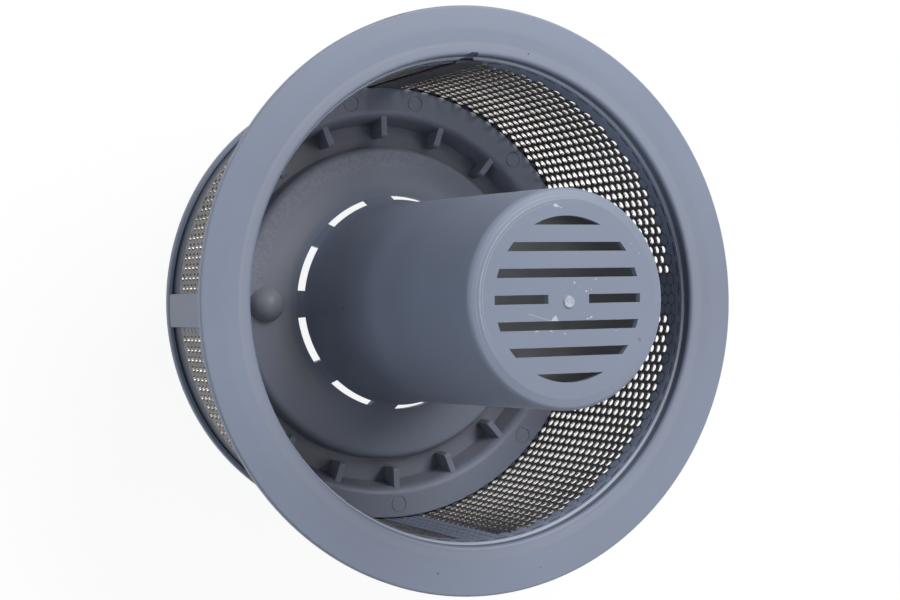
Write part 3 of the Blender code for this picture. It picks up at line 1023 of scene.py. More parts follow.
    def seam_notch(self) -> Object:
        """Model the relief in the bore over the seam of the sheet, with slanted sides and a sloping wall.

        Returns:
            The relief, as one shape to cut.
        """
        back = self.bore + self.notch_depth
        (near, far), (near_slant, far_slant) = self.notch_sides, self.notch_slants
        low = (self.seats.sheet_inner - NEAR, near, self.ledge - self.ledge_thickness - 2 * NEAR)
        notch = Bench.block("notch", low, (back, far, self.depth + 0.002))
        slope = self.seats.frame_inner + NEAR - back
        moves = (
            (lambda vert: vert.co.y > 0.0 and vert.co.x < self.bore, (0.0, far_slant, 0.0)),
            (lambda vert: vert.co.y < 0.0 and vert.co.x < self.bore, (0.0, near_slant, 0.0)),
            (lambda vert: vert.co.x > self.bore and vert.co.z < self.ledge, (slope, 0.0, 0.0)),
        )
        with Bench.edit(notch):
            for test, move in moves:
                Bench.select(notch, "verts", test)
                bpy.ops.transform.translate(value=move)
        Bench.soften(notch, lambda edge: min(v.co.x for v in edge.verts) > self.bore - NEAR, self.notch_edge)
        return Bench.turn(notch, self.seats.turn + 90.0)

    def build(self) -> Object:
        """Build the moulding from its parts.

        Returns:
            The moulding.
        """
        body = self.flange()
        for piece in (self.base(), self.bars(), self.fins()):
            Bench.combine(body, piece, Shape.JOIN)
        for cutter in (self.ejector_marks(), self.seam_notch()):
            Bench.combine(body, cutter, Shape.CUT)
        return Bench.finish(body)


@dataclass
class PerforatedBand:
    """The rolled steel band with its staggered round holes and lapped seam."""

    seats: Seats
    hole: float = 0.00113
    pitch: float = 0.003498
    row_turn: float = 2.556
    first_turn: float = 0.463
    first_row: int = -103
    rows: int = 138
    low_hole: float = 0.00989
    holes: int = 18
    start: float = -271.0
    end_lines: Sequence[float] = (90.5, 92.5, 94.7)
    end: float = 95.5
    lap: float = 0.00055
    lap_span: Sequence[float] = (83.0, 88.5)
    lap_steps: int = 8
    tail_start: float = 94.9
    tail: float = 0.0002
    sides: int = 12
    plug_head: float = 0.00165
    plug_edge: float = 0.00012
    flush_below: float = 0.0125
    skin_wall: float = 0.0002
    skin_foot: float = 0.0680
    skin_sweep: float = 354.6
    skin_turn: float = 90.6
    patch_foot: float = 0.0657
    patch_sweep: float = 49.0
    patch_turn: float = 87.5
    plug_slack: float = 0.985
    collar_low: float = 0.065
    floor_high: float = 0.0105

    @property
    def step(self) -> float:
        """Distance between two rows of holes in the flat sheet."""
        return math.radians(self.row_turn) * self.seats.sheet

    @property
    def first(self) -> float:
        """How far along the flat sheet the first row of holes lies."""
        return self.along(self.bearing(self.first_row))

    @property
    def pin(self) -> float:
        """Radius of the plastic in a hole."""
        return self.hole * self.plug_slack

    def along(self, bearing: float) -> float:
        """How far along the flat sheet a bearing lies."""
        return self.seats.sheet * math.radians(bearing + 90.0)

    def bearing(self, row: int) -> float:
        """The bearing of a row of holes."""
        return self.first_turn + self.row_turn * row

    def cell(self) -> Object:
        """Model one hole in its six-sided piece of the flat sheet.

        Returns:
            The cell, standing in the plane y = 0 round the origin.
        """
        Bench.clear()
        bpy.ops.mesh.primitive_circle_add(
            vertices=self.sides, radius=self.hole, fill_type="NOTHING", rotation=(math.radians(90.0), 0.0, 0.0)
        )
        obj = Bench.added("steel_band")
        flat = self.pitch / 2
        corner = flat / math.cos(math.radians(30.0))
        grow, reach = flat / self.hole, corner / flat

        def is_outer(vert: BMVert) -> bool:
            """Whether a point lies on the outline of the cell."""
            return vert.co.length > (self.hole + flat) / 2

        def is_corner(vert: BMVert) -> bool:
            """Whether a point lies at a corner of the six-sided cell."""
            lean = math.degrees(math.atan2(vert.co.z, vert.co.x)) % 60.0
            return is_outer(vert) and min(lean, 60.0 - lean) < 1.0

        with Bench.edit(obj, whole=True):
            Bench.draw_out((grow, 1.0, grow))
            Bench.select(obj, "verts", is_corner)
            Bench.draw_out((reach, 1.0, reach), extrude=False)
            Bench.select(obj, "verts", is_outer)
            Bench.draw_out((self.step / (1.5 * corner), 1.0, 1.0), extrude=False)
        return obj

    def hole_centre(self, place: Vector) -> Vector:
        """Find the middle of the hole of the flat sheet that is nearest to a place.

        Args:
            place: A place in the plane of the flat sheet.

        Returns:
            The middle of the hole.
        """
        nearest = min(max(round((place.x - self.first) / self.step), 0), self.rows - 1)
        centres = []
        for row in range(max(nearest - 1, 0), min(nearest + 2, self.rows)):
            low = self.low_hole + (0.0 if row % 2 else self.pitch / 2)
            number = min(max(round((place.z - low) / self.pitch), 0), self.holes - 1)
            centres.append(Vector((self.first + self.step * row, 0.0, low + self.pitch * number)))
        return min(centres, key=lambda centre: (centre - place).length)

    @staticmethod
    def repeat(obj: Object, count: int, step: Sequence[float]) -> None:
        """Repeat a piece of the sheet a number of times, one step further each time."""
        Bench.modify(
            obj, "ARRAY", use_relative_offset=False, use_constant_offset=True, constant_offset_displace=step,
            count=count, use_merge_vertices=True, merge_threshold=WELD,
        )

    def flat_sheet(self) -> Object:
        """Repeat the cell over the sheet, in its staggered order.

        Returns:
            The flat sheet, with ragged edges.
        """
        obj = self.cell()
        self.repeat(obj, self.holes, (0.0, 0.0, self.pitch))
        obj.location = (self.first, 0.0, self.low_hole + self.pitch / 2)
        Bench.apply_place(obj)
        obj = Bench.copies(obj, [Matrix.Identity(4), Matrix.Translation((self.step, 0.0, -self.pitch / 2))])
        self.repeat(obj, self.rows // 2, (2 * self.step, 0.0, 0.0))
        with Bench.edit(obj, whole=True):
            bpy.ops.mesh.remove_doubles(threshold=WELD)
        return obj

    def square_edges(self, obj: Object) -> None:
        """Draw the ragged edges of the flat sheet out to straight ones, and cut its top level.

        Args:
            obj: The flat sheet.
        """
        foot, reach = self.seats.sheet_foot, 0.8 * self.hole
        low, first = self.low_hole + NEAR, self.first - reach
        last = self.along(self.bearing(self.first_row + self.rows - 1)) + reach

        def is_free(edge: BMEdge) -> bool:
            """Whether an edge has a face on one side only and isn't the rim of a hole."""
            middle = middle_of(edge)
            return len(edge.link_faces) == 1 and (middle - self.hole_centre(middle)).length > 1.2 * self.hole

        def is_end(edge: BMEdge) -> bool:
            """Whether an edge is a free one above the foot."""
            return is_free(edge) and max(vert.co.z for vert in edge.verts) > foot + NEAR

        with Bench.edit(obj):
            Bench.select(obj, "edges", lambda e: is_free(e) and max(v.co.z for v in e.verts) < low)
            Bench.draw_out((1.0, 1.0, 0.0), (0.0, 0.0, foot))
            Bench.select(obj, "edges", lambda e: is_end(e) and max(v.co.x for v in e.verts) < first)
            Bench.draw_out((0.0, 1.0, 1.0), (self.along(self.start), 0.0, 0.0))
            Bench.select(obj, "edges", lambda e: is_end(e) and min(v.co.x for v in e.verts) > last)
            for end in (*self.end_lines, self.end):
                Bench.draw_out((0.0, 1.0, 1.0), (self.along(end), 0.0, 0.0))
            bpy.ops.mesh.select_all(action="SELECT")
            top = (0.0, 0.0, self.seats.sheet_top)
            bpy.ops.mesh.bisect(plane_co=top, plane_no=UPWARD, clear_outer=True)

    def set_lap(self, obj: Object) -> None:
        """Set the plain end inwards in small steps, so that it laps the other end on the inside.

        Args:
            obj: The flat sheet.
        """
        steps = self.lap_steps
        start, end = (self.along(bearing) for bearing in self.lap_span)
        with Bench.edit(obj):
            for step in range(steps):
                line = start + (end - start) * (step + 1) / steps
                share = smooth_step((step + 1) / steps) - smooth_step(step / steps)
                Bench.select(obj, "verts", lambda vert: vert.co.x > line)
                bpy.ops.transform.translate(value=(0.0, self.lap * share, 0.0))
            Bench.select(obj, "verts", lambda vert: vert.co.x > self.along(self.tail_start))
            bpy.ops.transform.translate(value=(0.0, self.tail, 0.0))

    def roll(self, obj: Object) -> None:
        """Roll the flat sheet up round the axis and give it its thickness.

        Args:
            obj: The flat sheet.
        """
        angle = (self.along(self.end) - self.along(self.start)) / self.seats.sheet
        Bench.modify(obj, "SIMPLE_DEFORM", deform_method="BEND", deform_axis="Z", angle=angle)
        obj.location = (0.0, -self.seats.sheet, 0.0)
        Bench.apply_place(obj)
        with Bench.edit(obj, whole=True):
            bpy.ops.mesh.normals_make_consistent(inside=False)
        face = obj.data.polygons[0]
        if face.normal.dot(Vector((face.center.x, face.center.y, 0.0))) < 0.0:
            obj.data.flip_normals()
        for part in ("sheet", "cut"):
            obj.data.materials.append(bpy.data.materials.new(part))
        Bench.modify(obj, "SOLIDIFY", thickness=self.seats.sheet_wall, offset=-1.0, material_offset_rim=1)
        low, high = self.seats.sheet_foot + NEAR, self.seats.sheet_top - NEAR

        def is_outer_rim(face: BMFace) -> bool:
            """Whether a face of the rim lies at the sheet's foot or top."""
            return face.material_index == 1 and not low < face.calc_center_median().z < high

        with Bench.edit(obj):
            Bench.select(obj, "faces", is_outer_rim)
            obj.active_material_index = 0
            bpy.ops.object.material_slot_assign()

    def build(self) -> Object:
        """Build the band.

        Returns:
            The band.
        """
        band = self.flat_sheet()
        self.square_edges(band)
        self.set_lap(band)
        self.roll(band)
        Bench.pick(band)
        bpy.ops.object.shade_smooth_by_angle(angle=math.radians(40.0))
        return band

    def is_filled(self, row: int, height: float, bar_bearings: Sequence[float]) -> bool:
        """Say whether the basket's plastic fills a hole.

        Args:
            row: Number of the hole's row.
            height: Height of its middle.
            bar_bearings: Bearings of the bars that lie over holes.

        Returns:
            Whether the hole is filled.
        """
        bearing = self.bearing(row)
        behind = any(apart(bearing, bar) < 5.0 for bar in bar_bearings)
        return behind or height > self.collar_low or height < self.floor_high

    def plug(self, name: str, inner: float, outer: float, head: float) -> Object:
        """Model one plug of plastic, as a pin with a flat head on the inside of the sheet.

        Args:
            name: Name of the new object.
            inner: Radius at which its head ends.
            outer: Radius at which its pin ends.
            head: Radius of its head.

        Returns:
            The plug, lying along +X.
        """
        edge, face = self.plug_edge, self.seats.sheet_inner + WELD
        section = [(0.0, outer), (self.pin, outer), (self.pin, face), (head, face)]
        section += [(head, inner + edge), (head - edge, inner), (0.0, inner)]
        return Bench.turned(name, section, self.sides, closed=False)

    def plugs(self) -> Object:
        """Model the plastic that fills the holes at the bars, the collar and the floor, and copy it to them.

        Returns:
            The plugs, as one object.
        """
        seats = self.seats
        inner, outer = seats.sheet_inner, seats.sheet
        with_head = self.plug("sheet_plugs", inner - self.skin_wall, outer - NEAR, self.plug_head)
        flush = self.plug("low_plugs", inner - NEAR, outer - NEAR / 2, self.pin)
        lie = Matrix.Rotation(math.radians(90.0), 4, "Y")
        bars = [seats.turn, seats.turn + 180.0, seats.turn + 270.0]
        headed, low = [], []
        for row in range(self.first_row, self.first_row + self.rows):
            shift = self.pitch / 2 if row % 2 else 0.0
            for number in range(self.holes):
                height = self.low_hole + shift + self.pitch * number
                if not self.is_filled(row, height, bars) or height + self.hole > seats.sheet_top:
                    continue
                (turn,) = turns_to([self.bearing(row)])
                places = low if height < self.flush_below else headed
                places.append(turn @ Matrix.Translation((0.0, 0.0, height)) @ lie)
        return Bench.finish(Bench.join(Bench.copies(with_head, headed), Bench.copies(flush, low)))

    def skin(self) -> Object:
        """Turn the thin skin of plastic that ran out over the sheet under the ledge, wider on one side.

        Returns:
            The skin.
        """
        inner, top = self.seats.sheet_inner, self.seats.sheet_top + 0.0003
        face = inner - self.skin_wall
        under, low = self.skin_foot, self.patch_foot
        ring = [(inner + 0.0003, top), (face, top - 0.0009), (face, under), (inner + NEAR, under - NEAR)]
        wide = [(face, under + NEAR), (face, low + NEAR), (face + 0.00008, low), (inner + NEAR, low)]
        wide += [(inner + NEAR, under + NEAR)]
        body = Bench.turn(Bench.turned("sheet_skin", ring, 180, sweep=self.skin_sweep), self.skin_turn)
        patch = Bench.turn(Bench.turned("patch", wide, 24, sweep=self.patch_sweep), self.patch_turn)
        return Bench.finish(Bench.join(body, patch))


@dataclass
class RiserMoulding:
    """The riser moulding: slotted tube, dome with its curved slots and stud, and foot."""

    seats: Seats
    height: float = 0.1219
    tip: float = 0.0286
    tip_round: float = 0.0015
    tube_foot: float = 0.0301
    dome: float = 0.0094
    shoulder: float = 0.0488
    shoulder_round: float = 0.0022
    flare_start: float = 0.0300
    foot: float = 0.0600
    slot_top: float = 0.01735
    slot_radius: float = 0.03306
    slot_count: int = 9
    slot_steps: int = 16
    steps: int = 225
    disc: float = 0.0256
    disc_drop: float = 0.00035
    stud_place: float = 0.0410
    stud_radius: float = 0.0052
    stud_rise: float = 0.0052
    stud_sink: float = 0.0006
    grille_radius: float = 0.0213
    grille_pitch: float = 0.0067
    grille_slot: float = 0.0023
    grille_rows: int = 7
    grille_bridge: float = 0.0119
    grille_corner: float = 0.00025
    grille_edge: float = 0.00014
    gate_shift: float = 0.0008
    gate_radius: float = 0.0017
    gate_rise: float = 0.0004

    def flare(self) -> list[Point]:
        """Lay out the outer line of the dome from the foot of the tube to the shoulder.

        Returns:
            The points (r, z).
        """
        corners = (
            (self.tube_foot, self.flare_start),
            (self.tube_foot, self.dome + 0.0055),
            (self.slot_radius, self.dome + 0.0014),
            (self.shoulder - self.shoulder_round, self.dome),
        )
        points = []
        steps = 28
        for step in range(steps + 1):
            t = step / steps
            weights = ((1 - t) ** 3, 3 * t * (1 - t) ** 2, 3 * t * t * (1 - t), t**3)
            points.append(tuple(sum(w * c[axis] for w, c in zip(weights, corners)) for axis in (0, 1)))
        return points

    def outer_line(self) -> list[Point]:
        """Lay out the outer line from the edge of the top disc down to the foot.

        Returns:
            The points (r, z).
        """
        low = self.height - self.disc_drop - self.tip_round
        line = [(self.disc - NEAR, self.height), (self.disc + NEAR, self.height - 0.00003)]
        line += arc((self.tip - self.tip_round, low), self.tip_round, 78, 0, 8)
        for share in (0.25, 0.5, 0.75):
            out = self.tip + (self.tube_foot - self.tip) * share
            line.append((out, low - (low - self.flare_start) * share))
        line += self.flare()
        centre = (self.shoulder - self.shoulder_round, self.dome - self.shoulder_round)
        line += arc(centre, self.shoulder_round, 75, 0, 6)
        line += [(self.shoulder + NEAR, self.seats.riser_wall + 0.0003)]
        line += [(self.shoulder + 0.0004, self.seats.riser_wall), (self.foot, self.seats.riser_wall)]
        return line

    @staticmethod
    def inset(line: Sequence[Point], wall: float) -> list[Point]:
        """Lay out the inner line of a shell.

        Args:
            line: The outer line, top to bottom on the side away from the axis.
            wall: Thickness of the wall.

        Returns:
            The inner line, point for point.
        """
        made = []
        for index, here in enumerate(line):
            before = line[max(index - 1, 0)]
            after = line[min(index + 1, len(line) - 1)]
            normals = []
            for a, b in ((before, here), (here, after)):
                run = Vector((b[0] - a[0], b[1] - a[1]))
                if run.length > 0.0:
                    run.normalize()
                    normals.append(Vector((-run.y, run.x)))
            middle = sum(normals, Vector((0.0, 0.0))).normalized()
            stretch = wall / max(middle.dot(normals[0]), 0.5)
            made.append((here[0] - middle.x * stretch, here[1] - middle.y * stretch))
        return made

    @staticmethod
    def crossing(line: Sequence[Point], axis: int, value: float, after: int = 10) -> tuple[int, Point]:
        """Find where a line crosses a radius or a height.

        Args:
            line: Points (r, z).
            axis: 0 for a radius, 1 for a height.
            value: The radius or height.
            after: Number of the last point that is passed over, so that the tip isn't crossed.

        Returns:
            The number of the point before the crossing, and the crossing.
        """
        for index, (a, b) in enumerate(zip(line, line[1:])):
            if index > after and (a[axis] - value) * (b[axis] - value) <= 0.0 and a[axis] != b[axis]:
                share = (value - a[axis]) / (b[axis] - a[axis])
                return index, (a[0] + (b[0] - a[0]) * share, a[1] + (b[1] - a[1]) * share)
        raise ValueError(f"the line doesn't cross {value}")

    def with_slot(self, line: Sequence[Point]) -> tuple[list[Point], Point, Point]:
        """Set the two edges of the curved slots into a line, with nothing between them.

        Args:
            line: Points (r, z), from the tip down.

        Returns:
            The new line, the upper edge and the lower edge.
        """
        upper, high = self.crossing(line, 1, self.slot_top)
        lower, low = self.crossing(line, 0, self.slot_radius)
        return [*line[: upper + 1], high, low, *line[lower + 1 :]], high, low

    def shell(self) -> Object:
        """Spin the shell, open the curved slots and close their walls.

        Returns:
            The shell.
        """
        outer = self.outer_line()
        inner = self.inset(outer, self.seats.riser_wall)
        inner[0] = (self.disc, self.height - self.seats.riser_wall)
        inner[-1] = (self.foot, 0.0)
        outer, *outer_edges = self.with_slot(outer)
        inner, *inner_edges = self.with_slot(inner)
        body = Bench.turned("riser_moulding", outer + inner[::-1], self.steps, closed=False)
        pairs = (outer_edges, inner_edges)
        half = 180.0 / self.steps * self.slot_steps

        def in_slot(face: BMFace) -> bool:
            """Whether a face lies where a curved slot is.

            Args:
                face: A face of the shell.

            Returns:
                Whether it does.
            """
            centre = face.calc_center_median()
            between = 360.0 / self.slot_count
            if abs((bearing_of(centre) + between / 2) % between - between / 2) > half:
                return False
            return any(
                abs(radius_of(centre) - (high[0] + low[0]) / 2) < 0.0003
                and abs(centre.z - (high[1] + low[1]) / 2) < 0.0003
                for high, low in pairs
            )

        with Bench.edit(body):
            found = Bench.select(body, "faces", in_slot)
            log.info("riser: %d faces opened for the curved slots", found)
            bpy.ops.mesh.delete(type="FACE")
            for slot in range(self.slot_count):
                turn = 360.0 * slot / self.slot_count

                def on_rim(edge: BMEdge) -> bool:
                    """Whether an edge lies on the rim of this slot."""
                    off = apart(bearing_of(middle_of(edge)), turn)
                    return edge.is_boundary and off < 180.0 / self.slot_count

                Bench.select(body, "edges", on_rim)
                bpy.ops.mesh.bridge_edge_loops()
            bpy.ops.mesh.select_all(action="SELECT")
            bpy.ops.mesh.normals_make_consistent(inside=False)
        return body

    def dome_height(self, radius: float) -> float:
        """Height of the dome's outer face at a distance from the axis."""
        return self.crossing(self.flare(), 0, radius, after=-1)[1][1]

    def stud(self) -> Object:
        """Spin the round stud about its own axis, with a small fillet round its foot.

        Returns:
            The stud.
        """
        foot = self.dome_height(self.stud_place) - self.stud_sink
        section = [(0.0, foot - 0.001), (self.stud_radius + 0.0003, foot - 0.001)]
        section += [(self.stud_radius + 0.0002, foot + 0.0003), (self.stud_radius, foot + 0.0010)]
        section += arc((0.0, foot), self.stud_radius, 22, 90, 12)
        section = [(r, min(z, foot + self.stud_rise)) for r, z in section]
        return Bench.turned("stud", section, 48, closed=False, place=(-self.stud_place, 0.0))

    def grille(self) -> Object:
        """Model the slots in the top: straight bars kept inside a circle, with eased ends.

        Returns:
            The slots, as one shape to cut.
        """
        low = self.height - self.seats.riser_wall - 0.002
        high = self.height + 0.002
        middle_row = self.grille_rows // 2
        bars = []
        for row in range(self.grille_rows):
            y = (row - middle_row) * self.grille_pitch
            reach = self.grille_radius + 0.001
            near, far = y - self.grille_slot / 2, y + self.grille_slot / 2
            near = -reach if row == 0 else near
            far = reach if row == self.grille_rows - 1 else far
            spans = [(-reach, reach)]
            if row == middle_row:
                spans = [(-reach, -self.grille_bridge / 2), (self.grille_bridge / 2, reach)]
            for start, end in spans:
                bars.append(Bench.block("grille", (start, near, low), (end, far, high)))
        circle = Bench.round_bar("circle", self.grille_radius, low - 0.001, high + 0.001, 160)
        slots = Bench.combine(Bench.join(*bars), circle, Shape.KEEP)

        def is_corner(edge: BMEdge) -> bool:
            """Whether an edge is an upright corner of a slot."""
            upright = abs(edge.verts[0].co.z - edge.verts[1].co.z) > 0.001
            return upright and edge.calc_face_angle(0.0) > math.radians(12.0)

        Bench.soften(slots, is_corner, self.grille_corner)
        return slots

    def gate(self) -> Object:
        """Spin the low round mark that the moulding gate left.

        Returns:
            The mark.
        """
        top, out = self.height + self.gate_rise, self.gate_radius
        section = [(0.0, self.height - 0.001), (out, self.height - 0.001), (out, self.height + NEAR)]
        section += [(0.0015, top - NEAR), (0.0013, top), (0.0007, top - 0.00008), (0.0, top - NEAR)]
        return Bench.turned("gate", section, 32, closed=False, place=(0.0, -self.gate_shift))

    def build(self) -> Object:
        """Build the moulding from its parts.

        Returns:
            The moulding.
        """
        body = self.shell()
        Bench.combine(body, self.grille(), Shape.CUT)
        Bench.combine(body, self.stud(), Shape.JOIN)
        Bench.combine(body, self.gate(), Shape.JOIN)

        def is_slot_edge(edge: BMEdge) -> bool:
            """Whether an edge lies round a grille slot on the outer face.

            Args:
                edge: An edge of the moulding.

            Returns:
                Whether it does.
            """
            ends = [vert.co for vert in edge.verts]
            level = all(abs(end.z - self.height) < 1e-5 for end in ends)
            near = all(0.003 < radius_of(end) < self.grille_radius + 0.0005 for end in ends)
            return level and near and edge.calc_face_angle(0.0) > math.radians(60.0)

        Bench.soften(body, is_slot_edge, self.grille_edge)
        return Bench.finish(Bench.turn(body, self.seats.riser_turn))


@dataclass
class Studio:
    """The pale floor, the soft light and the camera at the photograph's angle."""

    eye: Sequence[float] = (-0.221473, -0.003776, 0.509447)
    right: Sequence[float] = (0.899908, -0.003947, 0.436060)
    up: Sequence[float] = (0.0, 0.999959, 0.009050)
    forward: Sequence[float] = (0.436078, 0.008144, -0.899872)
    lens: float = 69.88

    def camera(self) -> None:
        """Set the camera up."""
        data = bpy.data.cameras.new("camera")
        data.lens = self.lens
        data.sensor_width = 36.0
        data.clip_start = 0.01
        made = bpy.data.objects.new("camera", data)
        bpy.context.scene.collection.objects.link(made)
        turn = Matrix((self.right, self.up, [-part for part in self.forward])).transposed().to_4x4()
        made.matrix_world = Matrix.Translation(self.eye) @ turn
        bpy.context.scene.camera = made

    @staticmethod
    def lamp(name: str, place: Point3, size: float, power: float, colour: Colour = (1.0, 1.0, 1.0)) -> None:
        """Hang a square soft lamp that points at the filter.

        Args:
            name: Name of the lamp.
            place: Where it hangs.
            size: Side of the square.
            power: Its power in watts.
            colour: Colour of its light.
        """
        data = bpy.data.lights.new(name, "AREA")
        data.color = colour
        data.shape = "SQUARE"
        data.size = size
        data.energy = power
        made = bpy.data.objects.new(name, data)
        made.location = place
        made.rotation_euler = (Vector((0.0, 0.0, 0.05)) - Vector(place)).to_track_quat("-Z", "Y").to_euler()
        bpy.context.scene.collection.objects.link(made)

    @staticmethod
    def split(tree: Tree, unseen: Node, seen: Node, out: str) -> None:
        """Give rays that see the background one shader, and all other rays another.

        Args:
            tree: The tree that is wired.
            unseen: The shader that lights the filter.
            seen: The shader for camera, glossy and transmission rays.
            out: Name of the tree's output node.
        """
        rays = tree.add("LightPath").outputs
        share = tree.math("MAXIMUM", rays["Is Camera Ray"], rays["Is Glossy Ray"])
        share = tree.math("MAXIMUM", share, rays["Is Transmission Ray"])
        both = tree.wire(tree.add("MixShader"), n0=share, n1=unseen.outputs[0], n2=seen.outputs[0])
        tree.wire(tree.tree.nodes[out], Surface=both.outputs[0])

    def world(self) -> None:
        """Set a plain soft world that is white where it is seen."""
        world = bpy.data.worlds.new("studio")
        world.use_nodes = True
        tree = Tree(world.node_tree)
        light = tree.wire(tree.add("Background"), Color=(0.95, 0.97, 1.0, 1.0), Strength=0.08)
        white = tree.wire(world.node_tree.nodes["Background"], Color=(1.0, 1.0, 1.0, 1.0), Strength=1.0)
        self.split(tree, light, white, "World Output")
        bpy.context.scene.world = world

    def floor(self) -> None:
        """Lay the pale floor: nearly white where it is seen, with the filter's own soft shadow."""
        Bench.clear()
        bpy.ops.mesh.primitive_plane_add(size=6.0, location=(0.0, 0.0, -NEAR))
        floor = Bench.added("floor")
        made = bpy.data.materials.new("pale_floor")
        made.use_nodes = True
        tree = Tree(made.node_tree)
        made.node_tree.nodes.remove(made.node_tree.nodes["Principled BSDF"])
        plain = tree.wire(tree.add("BsdfDiffuse"), Color=(0.55, 0.56, 0.58, 1.0))
        faint = tree.wire(tree.add("BsdfDiffuse"), Color=(0.10, 0.10, 0.10, 1.0))
        glow = tree.wire(tree.add("Emission"), Color=(1.0, 1.0, 1.0, 1.0), Strength=0.92)
        seen = tree.wire(tree.add("AddShader"), n0=faint.outputs[0], n1=glow.outputs[0])
        self.split(tree, plain, seen, "Material Output")
        floor.data.materials.append(made)

    def build(self) -> None:
        """Set the whole studio up."""
        self.camera()
        self.world()
        self.floor()
        self.lamp("key", (0.42, 0.72, 0.95), 0.85, 14.2)
        self.lamp("side", (0.78, -0.36, 0.95), 0.85, 3.6)
        self.lamp("fill", (-1.05, 0.05, 0.60), 0.60, 3.6, (0.84, 0.93, 1.0))
        bpy.context.scene.view_settings.view_transform = "Standard"


@dataclass
class Filter:
    """The whole filter: its pieces, their finishes and the solids that they stand for."""

    basket: BasketMoulding
    band: PerforatedBand
    riser: RiserMoulding
    basket_finish: PlasticFinish
    riser_finish: PlasticFinish
    steel: SteelFinish
    cut_steel: SteelFinish

    @staticmethod
    def dress(obj: Object, finishes: Sequence[Material], slot: str, *nodes: str) -> None:
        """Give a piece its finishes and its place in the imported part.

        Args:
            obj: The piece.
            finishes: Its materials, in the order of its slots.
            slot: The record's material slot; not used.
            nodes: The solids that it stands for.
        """
        while len(obj.data.materials) < len(finishes):
            obj.data.materials.append(None)
        for index, finish in enumerate(finishes):
            obj.data.materials[index] = finish
        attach(obj, "root")
        if nodes:
            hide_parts(*nodes)
        log.info("%s: %d faces", obj.name, len(obj.data.polygons))

    def build(self) -> None:
        """Build and dress every piece."""
        effects = Effects()
        moulded = [self.basket_finish.build(effects)]
        steel = [finish.build(effects) for finish in (self.steel, self.cut_steel)]
        self.dress(self.basket.build(), moulded, "basket_plastic", "basket_frame")
        self.dress(self.band.build(), steel, "stainless_sheet", "perforated_band")
        self.dress(self.band.plugs(), moulded, "basket_plastic")
        self.dress(self.band.skin(), moulded, "basket_plastic")
        self.dress(self.riser.build(), [self.riser_finish.build(effects)], "riser_plastic", "riser")


def top_wear() -> tuple[Stroke, ...]:
    """List the marks on the riser's top: the whitened gate, white specks, scuffs and a scratch.

    Returns:
        The strokes, in the order in which they lie over each other.
    """
    top = 0.1220
    chalk, pale, brown, dark = (0.60, 0.62, 0.66), (0.40, 0.43, 0.50), (0.20, 0.15, 0.12), (0.10, 0.11, 0.14)
    scuff, line = dict(ragged=1.6, broken=0.8), dict(ragged=0.6, broken=0.5)

    def at(x: float, y: float, *end: float, width: float = 0.25, tone: Colour = chalk, **more: float) -> Stroke:
        """Place one stroke, in millimetres on the top."""
        ends = [(along / 1000, across / 1000, top) for along, across in ((x, y), end or (x, y))]
        return Stroke(*ends, width / 1000, tone, **more)

    return (
        at(0.0, -0.8, width=1.75, tone=(0.56, 0.59, 0.64), strength=0.85, ragged=0.22, broken=0.25),
        at(-0.57, -0.42, width=0.30, tone=dark, strength=0.75, ragged=0.3),
        at(0.60, -0.96, width=0.30, tone=dark, strength=0.75, ragged=0.3),
        at(0.1, -0.1, 0.5, 0.2, width=0.22, tone=dark, strength=0.45),
        at(1.54, 4.17, width=0.36, strength=0.95), at(5.18, 2.03, width=0.30, strength=0.95),
        at(6.92, -4.53, 5.5, -5.1, width=0.22, strength=0.9), at(6.6, 2.4, width=0.20, strength=0.85),
        at(5.9, 1.2, width=0.16, strength=0.75), at(3.2, 3.1, width=0.16, strength=0.8),
        at(-2.2, 3.3, width=0.15, strength=0.7), at(4.5, -3.4, width=0.16, strength=0.75),
        at(2.9, -4.4, width=0.15, strength=0.6), at(-8.4, 3.6, width=0.15, strength=0.6),
        at(-4.0, -4.6, -4.7, -5.5, width=0.42, strength=0.75, ragged=0.8),
        at(-4.7, -5.5, -3.2, -5.6, width=0.34, strength=0.75, ragged=0.8),
        at(-3.3, -5.5, -4.0, -4.6, width=0.40, strength=0.75, ragged=0.8),
        at(-11.9, -3.75, -5.1, -5.6, width=0.17, tone=pale, strength=0.95, **line),
        at(-11.4, -4.6, -6.2, -5.5, width=0.10, tone=pale, strength=0.6, **line),
        at(-18.7, -5.4, -17.5, -6.1, width=0.18, tone=pale, strength=0.8, **line),
        at(0.8, -8.6, 8.4, -11.0, width=0.10, tone=pale, strength=0.6, **line),
        at(2.4, -1.3, 5.4, -2.2, width=0.10, tone=pale, strength=0.5, **line),
        at(-1.2, -8.7, width=0.38, tone=chalk, strength=0.6, **scuff),
        at(-9.6, -8.15, -8.9, -8.15, width=0.26, strength=0.85),
        at(-5.4, -8.15, -5.0, -8.15, width=0.24, strength=0.85),
        at(8.0, 5.1, width=0.28, strength=0.85), at(13.5, -8.2, 14.6, -8.2, width=0.14, tone=pale),
        at(-3.9, 23.8, -3.2, 23.6, width=0.42, strength=0.95, ragged=0.9),
        at(-3.2, 23.6, -1.9, 23.2, width=0.16, strength=0.6),
        at(18.5, 14.4, width=0.20, strength=0.6), at(21.0, 11.9, width=0.24, strength=0.6),
        at(21.2, -10.9, 20.8, -10.4, width=0.42, tone=brown, strength=0.7),
        at(-18.2, -10.8, -17.4, -10.4, width=0.16, tone=pale, strength=0.7, **scuff),
        at(-14.3, 12.1, -13.6, 12.3, width=0.16, tone=pale, strength=0.7, **scuff),
        at(13.1, 12.0, 13.9, 12.3, width=0.18, tone=pale, strength=0.7, **scuff),
        at(10.3, -12.2, 11.6, -12.1, width=0.14, tone=pale, strength=0.6, **scuff),
    )


